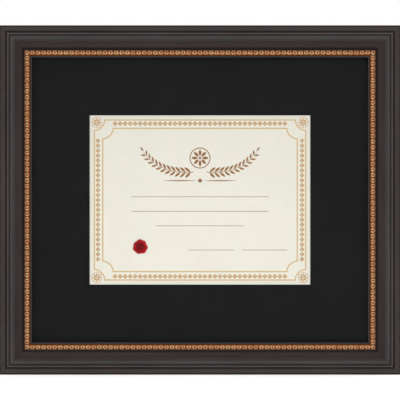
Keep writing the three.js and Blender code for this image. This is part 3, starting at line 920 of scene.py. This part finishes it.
def border_rules():
    """The rule round the outside of the border, and the one round its inside."""
    rules = []
    for inset in (border_inset, border_inset + border_band):
        outline = notched(paper_width - 2 * inset, paper_height - 2 * inset, border_notch)
        rules.append(printed_ring("rule", outline, rule_width))
    return joined("certificate_rules", rules)


def open_lozenge():
    """One lozenge of the border: a diamond of ink with a dot in its middle."""
    diamond = printed_ring("diamond", circle(lozenge_half, 4), lozenge_line)
    return joined("lozenge", [diamond, printed("dot", circle(lozenge_dot, 6))])


def border_lozenges():
    """The rows of lozenges along the middle of the border, point to point."""
    lozenge = open_lozenge()
    middle = border_inset + border_band / 2
    row_width = paper_width - 2 * middle
    row_height = paper_height - 2 * middle
    copies = []
    for length, across, turn in ((row_width, row_height, 0), (row_height, row_width, math.pi / 2)):
        room = length - 2 * border_notch - border_band
        count = round(room / lozenge_pitch)
        quarter = Matrix.Rotation(turn, 4, "Y")
        for i in range(count):
            along = ((i + 0.5) / count - 0.5) * room
            for side in (-0.5, 0.5):
                place = quarter @ Matrix.Translation((along, 0, side * across))
                copies.append(copy_of(lozenge, "lozenge", place))
    bpy.data.objects.remove(lozenge)
    return joined("certificate_lozenges", copies)


def rosette(radius):
    """An eight-petalled flower in a ring. Its parts are shares of the ring's radius."""
    ring = printed_ring("ring", circle(radius, 40), 0.09 * radius)
    eye = printed("eye", circle(0.13 * radius, 12))
    petal = moved(pointed(0.62 * radius, 0.27 * radius), x=0.5 * radius)
    petals = [printed("petal", moved(petal, turn=45 * i)) for i in range(8)]
    return joined("rosette", [ring, eye, *petals])


def border_rosettes():
    """A rosette in each notch of the border."""
    flower = rosette(rosette_radius)
    across = paper_width / 2 - rosette_inset
    up = paper_height / 2 - rosette_inset
    places = [(x * across, z * up) for x in (-1, 1) for z in (-1, 1)]
    copies = [copy_of(flower, "rosette", Matrix.Translation((x, 0, z))) for x, z in places]
    bpy.data.objects.remove(flower)
    return joined("certificate_rosettes", copies)


# The heading: a round flower between two branches of laurel, over a swelled rule.
heading_height = 52.0 * mm
heading_radius = 13.0 * mm
branch_line = [(5 * mm, -17 * mm), (30 * mm, -20 * mm), (56 * mm, -14 * mm), (70 * mm, 8 * mm)]
branch_pairs = 12
stem_half = 0.45 * mm
stem_taper = 0.6
leaf_spread = 40
leaf_length = 9.6 * mm
leaf_width = 3.1 * mm
leaf_taper = 0.35
leaf_seat = 0.58


def laurel_branch(side):
    """A branch out to one side: a tapered stem, with pairs of leaves that get smaller toward its tip."""
    stem = [Vector((side * x, z)) for x, z in curve(branch_line, 2 * branch_pairs)]
    edges = ([], [])
    shapes = []
    for i in range(1, len(stem)):
        step = (stem[i] - stem[i - 1]).normalized()
        across = Vector((-step.y, step.x)) * stem_half * (1 - stem_taper * i / len(stem))
        edges[0].append(tuple(stem[i] + across))
        edges[1].append(tuple(stem[i] - across))
        size = 1 - leaf_taper * i / len(stem)
        heading = math.degrees(math.atan2(step.y, step.x))
        spreads = (0,) if i == len(stem) - 1 else (-leaf_spread, leaf_spread)
        for spread in spreads if i % 2 == 0 else ():
            leaf = moved(pointed(leaf_length * size, leaf_width * size), x=leaf_seat * leaf_length * size)
            shapes.append(printed("leaf", moved(leaf, *stem[i], heading + spread)))
    shapes.append(printed("stem", edges[0] + edges[1][::-1]))
    return shapes


def heading_ornament():
    shapes = [rosette(heading_radius), *laurel_branch(-1), *laurel_branch(1)]
    branches = joined("certificate_heading", shapes)
    branches.data.transform(Matrix.Translation((0, 0, heading_height)))
    return branches


# The lines to write on, as (middle across, height, length), and the divider under the heading.
writing_lines = [
    (0, 4 * mm, 170 * mm),
    (0, -14 * mm, 170 * mm),
    (0, -32 * mm, 110 * mm),
    (14 * mm, -62 * mm, 56 * mm),
    (80 * mm, -62 * mm, 56 * mm),
]
line_width = 0.6 * mm
divider_height = 24.0 * mm
divider_spread = 25.0 * mm
divider_length = 42.0 * mm
divider_width = 1.3 * mm


def ruled_lines():
    """Thin plain lines, and a divider of two swelled rules with a lozenge between them."""
    shapes = []
    for x, z, length in writing_lines:
        a, b = length / 2, line_width / 2
        shapes.append(printed("line", moved([(-a, -b), (a, -b), (a, b), (-a, b)], x, z)))
    swelled = pointed(divider_length, divider_width)
    for side in (-1, 1):
        shapes.append(printed("swelled_rule", moved(swelled, side * divider_spread, divider_height)))
    shapes.append(printed("lozenge", moved(circle(lozenge_half, 4), 0, divider_height)))
    return joined("certificate_ruling", shapes)


# The seal: a pat of red wax pressed with a plain flower. Its edge runs out in waves, each a share of the
# radius, a number of crests and a start.
seal_middle = Vector((-74 * mm, paper_face, -58 * mm))
seal_radius = 9.0 * mm
seal_height = 1.3 * mm
seal_sides = 40
seal_waves = [(0.055, 7, 0.6), (0.03, 3, 1.9)]
seal_wall = 0.45 * seal_height
seal_narrowing = 0.9
seal_rim = 1.0 * mm
seal_slope = 0.9 * mm
seal_press = 0.6 * seal_height
seal_crease = 0.4 * mm
seal_bed = 2.4 * mm
petal_foot = 0.25 * seal_height
petal_rise = 0.5 * seal_height
petal_seat = 2.7 * mm
petal_length = 4.4 * mm
petal_width = 2.0 * mm
petal_arris = 0.25 * mm


def wax_seal():
    """A disc whose rim is raised and whose middle is pressed, with the edge run out unevenly."""
    facing = {"location": seal_middle, "rotation": (math.pi / 2, 0, 0)}
    bpy.ops.object.select_all(action="DESELECT")
    bpy.ops.mesh.primitive_circle_add(vertices=seal_sides, radius=seal_radius, fill_type="NGON", **facing)
    seal = take_in("certificate_seal")
    bpy.ops.object.mode_set(mode="EDIT")
    bpy.ops.mesh.select_all(action="SELECT")
    rise = Vector((0, -seal_wall, 0))
    extrude(rise)
    extrude(rise)
    narrowed = (seal_narrowing, 1, seal_narrowing)
    bpy.ops.transform.resize(value=narrowed, center_override=seal_middle + 2 * rise)
    bpy.ops.mesh.inset(thickness=seal_rim)
    bpy.ops.mesh.inset(thickness=seal_slope)
    bpy.ops.transform.translate(value=(0, seal_press, 0))
    bpy.ops.mesh.inset(thickness=seal_crease)
    bpy.ops.mesh.inset(thickness=seal_bed)
    close_up()
    for vertex in seal.data.vertices:
        offset = vertex.co - seal_middle
        around = math.atan2(offset.z, offset.x)
        run_out = sum(share * math.cos(crests * around + start) for share, crests, start in seal_waves)
        reach = math.hypot(offset.x, offset.z) / seal_radius
        swell = 1 + run_out * reach**2
        vertex.co.x = seal_middle.x + offset.x * swell
        vertex.co.z = seal_middle.z + offset.z * swell
    apply_modifier(seal, "SUBSURF", levels=2, render_levels=2)
    foot = paper_face - petal_foot
    petal = moved(pointed(petal_length, petal_width), x=petal_seat)
    petals = []
    for i in range(6):
        outline = moved(petal, seal_middle.x, seal_middle.z, 60 * i)
        petals.append(prism("petal", [(x, foot, z) for x, z in outline], (0, -petal_rise, 0)))
        ease_edges(petals[-1], petal_arris)
    smooth(seal, 60)
    return joined("certificate_seal", [seal, *petals])


def wax_material():
    material, tree, surface = new_material("sealing_wax", Specular_IOR_Level=0.2)
    coordinates = place_in_space(tree)
    swirl = noise(tree, coordinates, 260.0, 3.0)
    ends = {0: coordinates, 1: seal_middle}
    away = add_node(tree, "ShaderNodeVectorMath", ends, operation="DISTANCE").outputs["Value"]
    wax = blend(tree, span(tree, swirl, 0.35, 0.7), srgb(190, 4, 18), srgb(132, 0, 10))
    # The pressed middle is painted a darker red: painted shade inside the raised rim.
    pressed = span(tree, away, 0.68 * seal_radius, 0.54 * seal_radius, 0.0, 0.75)
    colour = blend(tree, pressed, wax, srgb(92, 0, 8))
    roughness = span(tree, swirl, 0.3, 0.7, 0.24, 0.4)
    connect(tree, surface, Base_Color=colour, Roughness=roughness, Normal=bump(tree, swirl, 0.15, 0.1 * mm))
    return material


ivory_paper = board_material("ivory_paper", srgb(239, 235, 223), srgb(233, 229, 217), 900.0, 0.12)
gold_ink = ink_material("gold_ink", srgb(188, 140, 66), srgb(204, 164, 98))
pale_gold_ink = ink_material("pale_gold_ink", srgb(208, 176, 122), srgb(222, 198, 154))
brown_ink = ink_material("brown_ink", srgb(146, 98, 50), srgb(176, 134, 90))
paper = sheet_of_paper()
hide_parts("certificate_sheet")
print_pieces = [
    (paper, ivory_paper),
    (border_rules(), pale_gold_ink),
    (border_lozenges(), gold_ink),
    (border_rosettes(), gold_ink),
    (heading_ornament(), brown_ink),
    (ruled_lines(), brown_ink),
    (wax_seal(), wax_material()),
]
for piece, material in print_pieces:
    piece.data.materials.append(material)
    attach(piece, "frame")

# Boards and tapes
# A foam board carries the sheet, which hangs from it by two gummed linen tapes. A sheet of pressed hardboard
# behind them closes the rabbet.
thread_pitch = 0.5 * mm


def linen_material():
    """Plain-woven linen tape: threads over and under each other, uneven in thickness."""
    material, tree, surface = new_material("linen_tape", Specular_IOR_Level=0.2)
    coordinates = place_in_space(tree)
    wobble = noise(tree, coordinates, 600.0, 2.0)
    axes = axes_of(tree, coordinates)
    thread = math.tau / thread_pitch
    warp = calc(tree, "SINE", calc(tree, "ADD", calc(tree, "MULTIPLY", axes[0], thread), wobble))
    weft = calc(tree, "SINE", calc(tree, "ADD", calc(tree, "MULTIPLY", axes[2], thread), wobble))
    weave = span(tree, calc(tree, "MULTIPLY", warp, weft), -1.0, 1.0)
    colour = blend(tree, weave, srgb(206, 198, 178), srgb(238, 232, 216))
    roughness = span(tree, weave, 0.0, 1.0, 0.95, 0.85)
    connect(tree, surface, Base_Color=colour, Roughness=roughness, Normal=bump(tree, weave, 0.5, 0.1 * mm))
    return material


def hardboard_material():
    """Pressed brown hardboard: short fibres every way, darker flecks, and a faint sheen on the hard face."""
    material, tree, surface = new_material("hardboard", Specular_IOR_Level=0.3)
    coordinates = place_in_space(tree)
    level = noise(tree, stretched(tree, coordinates, (260, 1, 1500)), 1.0, 3.0)
    steep = noise(tree, stretched(tree, coordinates, (1500, 1, 260)), 1.0, 3.0)
    fibres = calc(tree, "MAXIMUM", level, steep)
    flecks = span(tree, noise(tree, coordinates, 700.0, 3.0), 0.6, 0.7)
    mottling = noise(tree, coordinates, 18.0, 3.0)
    tan = blend(tree, span(tree, mottling, 0.35, 0.65), srgb(100, 70, 45), srgb(114, 80, 52))
    fibrous = blend(tree, span(tree, fibres, 0.5, 0.75, 0.0, 0.55), tan, srgb(142, 104, 70))
    colour = blend(tree, calc(tree, "MULTIPLY", flecks, 0.5), fibrous, srgb(60, 40, 27))
    roughness = span(tree, fibres, 0.4, 0.7, 0.5, 0.68)
    connect(tree, surface, Base_Color=colour, Roughness=roughness, Normal=bump(tree, fibres, 0.15, 0.06 * mm))
    return material


linen = linen_material()
dress("hinge_tape_left", linen)
dress("hinge_tape_right", linen)
dress("mounting_board", board_material("foam_board", srgb(244, 243, 238), srgb(232, 231, 226), 1400.0, 0.15))
dress("backing_board", hardboard_material())

# Screws
# Pan-head wood screws of brass-plated steel, with a cross recess in the head. One holds each turn button to
# its rail, and one each hanger.
screw_sides = 32
screw_shank = 1.6 * mm
screw_point = 3.0 * mm
screw_head = 3.3 * mm
screw_arris = 0.08 * mm
head_height = 2.0 * mm
head_brim = 0.45 * mm
recess_arm = 0.55 * mm
recess_reach = 2.0 * mm
recess_depth = 1.2 * mm
recess_over = 0.2 * mm
recess_taper = 0.45


def screw_shape(node):
    """A screw along Y at the origin, as long as the one at this node: its seat lies at y = 0."""
    low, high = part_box(node)
    tip = high.y - low.y - head_height
    profile = [
        (0, -tip),
        (screw_shank, screw_point - tip),
        (screw_shank, 0),
        (screw_head, 0),
        *curve([(screw_head, head_brim), (screw_head, head_height), (screw_head / 2, head_height)], 6),
        (0, head_height),
    ]
    screw = turned("screw", profile, screw_sides)
    quarter = [(recess_reach, -recess_arm), (recess_reach, recess_arm), (recess_arm, recess_arm)]
    cross = [corner for i in range(4) for corner in moved(quarter, turn=90 * i)]
    recess = draw("recess", [(x, head_height + recess_over, z) for x, z in cross])
    bpy.ops.mesh.edge_face_add()
    extrude((0, -recess_depth - recess_over, 0))
    bpy.ops.transform.resize(value=(recess_taper, 1, recess_taper), center_override=(0, 0, 0))
    close_up()
    combine(screw, recess, "DIFFERENCE")
    ease_edges(screw, screw_arris, 45)
    return screw


def middle_of(node):
    low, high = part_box(node)
    return (low + high) / 2


brass_plate = plated_metal("brass_plate", srgb(214, 180, 108), srgb(168, 132, 70), 0.28)


def drive_screws(nodes):
    """Puts a copy of one screw at each of these nodes, its head where theirs is, and turned by chance."""
    screw = screw_shape(nodes[0])
    screw.data.materials.append(brass_plate)
    head_top = max(vertex.co.y for vertex in screw.data.vertices)
    chance = random.Random(len(nodes))
    for node in nodes:
        seat = middle_of(node)
        seat.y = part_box(node)[1].y - head_top
        turn = Matrix.Rotation(chance.uniform(0, math.tau), 4, "Y")
        driven = copy_of(screw, f"{node}_driven", Matrix.Translation(seat) @ turn)
        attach(driven, "frame")
        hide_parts(node)
    bpy.data.objects.remove(screw)


# The sides of the frame, and how far their buttons are turned from those at the bottom.
button_turns = {"bottom": 0, "top": math.pi, "left": math.pi / 2, "right": -math.pi / 2}
drive_screws([f"turn_button_screw_{side}_{i}" for side in button_turns for i in (1, 2)])
drive_screws(["hanger_screw_left", "hanger_screw_right"])

# Turn buttons
# Eight teardrops stamped from zinc-plated steel sheet. Each turns on its screw, with its nose lifted so that
# it rides up on the backing board.
button_thickness = 1.0 * mm
button_heel = 6.0 * mm
button_nose = 4.0 * mm
button_reach = 16.0 * mm
button_hole = 1.9 * mm
button_bends = [9.0 * mm, 12.0 * mm, 15.0 * mm]
button_bend_angle = math.radians(4.2)
button_sides = 48
heel_sides = 30
button_arris = 0.18 * mm


def select_beyond(piece, height):
    """Opens a piece in edit mode with only what lies above this height selected."""
    take_up(piece)
    bpy.ops.object.mode_set(mode="EDIT")
    bpy.ops.mesh.select_all(action="DESELECT")
    bpy.ops.object.mode_set(mode="OBJECT")
    for vertex in piece.data.vertices:
        vertex.select = vertex.co.z > height + 0.01 * mm
    bpy.ops.object.mode_set(mode="EDIT")


def button_shape():
    """A button on the XZ plane with its screw at the origin and its nose along +Z, a thickness tall in +Y."""
    lean = math.degrees(math.acos((button_heel - button_nose) / button_reach))
    heel = arc((0, 0), button_heel, lean + 90, 450 - lean, heel_sides)
    nose = arc((0, button_reach), button_nose, 90 - lean, 90 + lean, button_sides - heel_sides - 2)
    button = draw("button", [(x, 0, z) for x, z in heel + nose])
    bpy.ops.mesh.primitive_circle_add(vertices=button_sides, radius=button_hole, rotation=(math.pi / 2, 0, 0))
    bpy.ops.mesh.select_all(action="SELECT")
    bpy.ops.mesh.bridge_edge_loops()
    bpy.ops.mesh.select_all(action="SELECT")
    extrude((0, button_thickness, 0))
    for bend in button_bends:
        bpy.ops.mesh.select_all(action="SELECT")
        bpy.ops.mesh.bisect(plane_co=(0, 0, bend), plane_no=(0, 0, 1))
    close_up()
    for bend in button_bends:
        select_beyond(button, bend)
        bpy.ops.transform.rotate(value=button_bend_angle, orient_axis="X", center_override=(0, 0, bend))
        bpy.ops.object.mode_set(mode="OBJECT")
    ease_edges(button, button_arris, 45)
    return button


button = button_shape()
button.data.materials.append(zinc_plate)
for side, turn in button_turns.items():
    for i in (1, 2):
        seat = middle_of(f"turn_button_screw_{side}_{i}")
        seat.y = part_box(f"turn_button_{side}_{i}")[0].y
        place = Matrix.Translation(seat) @ Matrix.Rotation(turn, 4, "Y")
        plate = copy_of(button, f"button_plate_{side}_{i}", place)
        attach(plate, f"button_{side}_{i}")
        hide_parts(f"turn_button_{side}_{i}")
bpy.data.objects.remove(button)

# Hangers
# On each side rail a strap of zinc-plated steel is folded round the bar of a D-ring of wire, and screwed
# down through both its layers. The ring swings in the fold.
strap_thickness = 0.9 * mm
strap_slit = 0.15 * mm
strap_width = 13.0 * mm
strap_hole = 1.9 * mm
strap_arris = 0.12 * mm
ring_radius = 1.1 * mm
ring_play = 0.3 * mm
ring_width = 22.0 * mm
ring_depth = 14.0 * mm
ring_corner = 3.0 * mm
loop_radius = ring_radius + ring_play + strap_thickness
strap_height = 2 * strap_thickness + strap_slit


def strap_shape(bar, foot, hole_up, rest):
    """A strap up the rail from its foot to the ring's bar: its folded side, extruded, is cut to its plan."""
    bore = loop_radius - strap_thickness
    slit_top = strap_thickness + strap_slit
    outer_neck = 180 + math.degrees(math.asin((loop_radius - strap_height) / loop_radius))
    inner_neck = 180 + math.degrees(math.asin((loop_radius - slit_top) / bore))
    fold = [
        (foot, 0),
        *arc((0, loop_radius), loop_radius, -90, outer_neck, 28),
        (foot, strap_height),
        (foot, slit_top),
        *arc((0, loop_radius), bore, inner_neck, -90, 24),
        (foot, strap_thickness),
    ]
    left = bar.x - strap_width / 2
    strap = prism("strap", [(left, rest + out, bar.z + up) for up, out in fold], (strap_width, 0, 0))
    round_end = arc((bar.x, bar.z + foot + strap_width / 2), strap_width / 2, 180, 360, 24)
    top = bar.z + 2 * loop_radius
    plan = [(bar.x + strap_width / 2, top), (bar.x - strap_width / 2, top), *round_end]
    hole = moved(circle(strap_hole, 24), bar.x, bar.z + hole_up)
    for outline, operation in ((plan, "INTERSECT"), (hole, "DIFFERENCE")):
        through = prism("cutter", [(x, rest - mm, z) for x, z in outline], (0, 3 * loop_radius, 0))
        combine(strap, through, operation)
    ease_edges(strap, strap_arris, 45)
    return strap


def ring_shape(bar):
    """A D-ring of wire: its line is drawn in place, leaning on the rail, and given its thickness."""
    half = ring_width / 2
    bar_end = half - ring_corner
    corner = curve([(bar_end, 0), (half, 0), (half, ring_corner)], 6)
    bow = curve([(half, ring_corner), (half, ring_depth), (half / 2, ring_depth), (0, ring_depth)], 14)
    right = corner + bow[1:]
    line = right + [(-x, z) for x, z in right[-2::-1]]
    lean = Matrix.Rotation(math.asin((loop_radius - ring_radius) / ring_depth), 4, "X")
    seat = Matrix.Translation(bar) @ lean
    ring = draw("ring", [seat @ Vector((x, 0, z)) for x, z in line])
    bpy.ops.object.mode_set(mode="OBJECT")
    bpy.ops.object.convert(target="CURVE")
    ring.data.bevel_depth = ring_radius
    ring.data.bevel_resolution = 4
    bpy.ops.object.convert(target="MESH")
    ring = bpy.context.object
    bpy.ops.object.mode_set(mode="EDIT")
    close_up()
    smooth(ring, 60)
    return ring


for hand in ("left", "right"):
    strap_low, strap_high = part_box(f"hanger_strap_{hand}")
    rest = strap_low.y
    bar = Vector(((strap_low.x + strap_high.x) / 2, rest + loop_radius, strap_high.z - loop_radius))
    hole_up = middle_of(f"hanger_screw_{hand}").z - bar.z
    strap = strap_shape(bar, strap_low.z - bar.z, hole_up, rest)
    ring = ring_shape(bar)
    for piece, name, body in ((strap, "strap", "frame"), (ring, "ring", f"ring_{hand}")):
        piece.name = piece.data.name = f"hanger_{name}_{hand}_plated"
        piece.data.materials.append(zinc_plate)
        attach(piece, body)
        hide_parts(f"hanger_{name}_{hand}")

# Bumpers
# Two domes of soft dark rubber that keep the frame off the wall. They are moulded, and stuck on at the foot
# of the back.
bumper_foot = 0.6 * mm
bumper_flat = 3.0 * mm
bumper_sides = 40
bumper_arris = 0.15 * mm


def rubber_material():
    material, tree, surface = new_material("rubber", Specular_IOR_Level=0.3)
    coordinates = place_in_space(tree)
    grime = noise(tree, coordinates, 500.0, 4.0)
    colour = blend(tree, span(tree, grime, 0.4, 0.75), srgb(44, 44, 45), srgb(74, 72, 68))
    roughness = span(tree, grime, 0.3, 0.7, 0.55, 0.8)
    connect(tree, surface, Base_Color=colour, Roughness=roughness, Normal=bump(tree, grime, 0.1, 0.05 * mm))
    return material


def bumper_shape(node):
    """A dome turned about Y, with a small foot, a round shoulder and a flat where it meets the wall."""
    low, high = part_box(node)
    radius = (high.x - low.x) / 2
    height = high.y - low.y
    dome = curve([(radius, bumper_foot), (radius, height), (bumper_flat, height)], 10)
    bumper = turned("bumper", [(0, 0), (radius, 0), *dome, (0, height)], bumper_sides)
    ease_edges(bumper, bumper_arris)
    return bumper


bumper = bumper_shape("wall_bumper_left")
bumper.data.materials.append(rubber_material())
for hand in ("left", "right"):
    seat = middle_of(f"wall_bumper_{hand}")
    seat.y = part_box(f"wall_bumper_{hand}")[0].y
    dome = copy_of(bumper, f"bumper_dome_{hand}", Matrix.Translation(seat))
    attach(dome, "frame")
    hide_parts(f"wall_bumper_{hand}")
bpy.data.objects.remove(bumper)

# Studio
# The frame stands on a plain pale floor, under soft light from both sides and above, before a white sweep.
# The camera looks straight at it through a long lens, so that its width fills the picture.
floor_size = 8.0
floor_front = 1.4
sensor = 36.0
lens = 500.0
shown_share = 0.998


def floor_material():
    """Pale paint that shows white to the camera, and keeps the shadow."""
    plain = {"Roughness": 0.9, "Specular_IOR_Level": 0.1, "Emission_Color": (1, 1, 1, 1)}
    material, tree, surface = new_material("pale_floor", **plain)
    coordinates = place_in_space(tree)
    slow = noise(tree, coordinates, 3.0, 2.0)
    colour = blend(tree, slow, srgb(250, 250, 250), srgb(246, 246, 246))
    path = add_node(tree, "ShaderNodeLightPath").outputs
    seen = calc(tree, "MAXIMUM", path["Is Camera Ray"], path["Is Glossy Ray"])
    connect(tree, surface, Base_Color=colour, Emission_Strength=calc(tree, "MULTIPLY", seen, 0.5))
    return material


bpy.ops.object.select_all(action="DESELECT")
bpy.ops.mesh.primitive_plane_add(size=floor_size, location=(0, floor_size / 2 - floor_front, -half_height))
floor = take_in("floor")
floor.data.materials.append(floor_material())


def studio_world(light, behind_camera):
    """Soft light from all round. The camera and reflections see a white sweep behind the frame, which falls
    to grey on the camera's side, where a black cloth round the lens keeps the satin face dark."""
    world = bpy.data.worlds.new("studio")
    world.use_nodes = True
    tree = world.node_tree
    path = add_node(tree, "ShaderNodeLightPath").outputs
    direction = add_node(tree, "ShaderNodeTexCoord").outputs["Generated"]
    depth = axes_of(tree, direction)[1]
    cloth = span(tree, depth, -0.995, -0.98, 0.02, behind_camera)
    sweep = span(tree, depth, 0.5, 1.0, cloth, 1.0)
    first_hit = calc(tree, "LESS_THAN", path["Diffuse Depth"], 0.5)
    by_gloss = calc(tree, "MAXIMUM", path["Is Glossy Ray"], path["Is Transmission Ray"])
    mirrored = calc(tree, "MULTIPLY", by_gloss, first_hit)
    level = add_node(tree, "ShaderNodeMix", {0: mirrored, 2: light, 3: sweep}).outputs[0]
    shown = add_node(tree, "ShaderNodeMix", {0: path["Is Camera Ray"], 2: level, 3: 1.0}).outputs[0]
    background = tree.nodes["Background"]
    background.inputs["Color"].default_value = (1, 1, 1, 1)
    connect(tree, background, Strength=shown)
    return world


def softbox(name, azimuth, elevation, distance, size, power):
    """A square softbox that faces the frame, placed by its angles from the camera's side. It lights what lies
    behind the glass straight through it, so it isn't seen once more by way of the glass."""
    light = bpy.data.lights.new(name, "AREA")
    light.size = size
    light.energy = power
    lamp = bpy.data.objects.new(name, light)
    lamp.visible_transmission = False
    side, rise = math.radians(azimuth), math.radians(elevation)
    way = Vector((math.sin(side) * math.cos(rise), -math.cos(side) * math.cos(rise), math.sin(rise)))
    lamp.location = way * distance
    lamp.rotation_euler = (-way).to_track_quat("-Z", "Y").to_euler()
    bpy.context.scene.collection.objects.link(lamp)


softbox("front_softbox", azimuth=0, elevation=24, distance=12.0, size=8.0, power=325)
softbox("left_softbox", azimuth=-45, elevation=20, distance=6.0, size=4.0, power=40)
softbox("right_softbox", azimuth=45, elevation=20, distance=6.0, size=4.0, power=40)
softbox("back_softbox", azimuth=150, elevation=16, distance=6.0, size=2.8, power=90)

camera_data = bpy.data.cameras.new("camera")
camera_data.lens = lens
camera_data.sensor_width = sensor
camera = bpy.data.objects.new("camera", camera_data)
bpy.context.scene.collection.objects.link(camera)
widest = back - (shoulder_height - shoulder_round)
shown_width = shown_share * half_width
camera.location = (0, widest - shown_width * lens / (sensor / 2), 0)
camera.rotation_euler = (math.pi / 2, 0, 0)
camera_data.clip_end = 100
bpy.context.scene.camera = camera
bpy.context.scene.world = studio_world(light=0.45, behind_camera=0.4)
bpy.context.scene.view_settings.view_transform = "Standard"
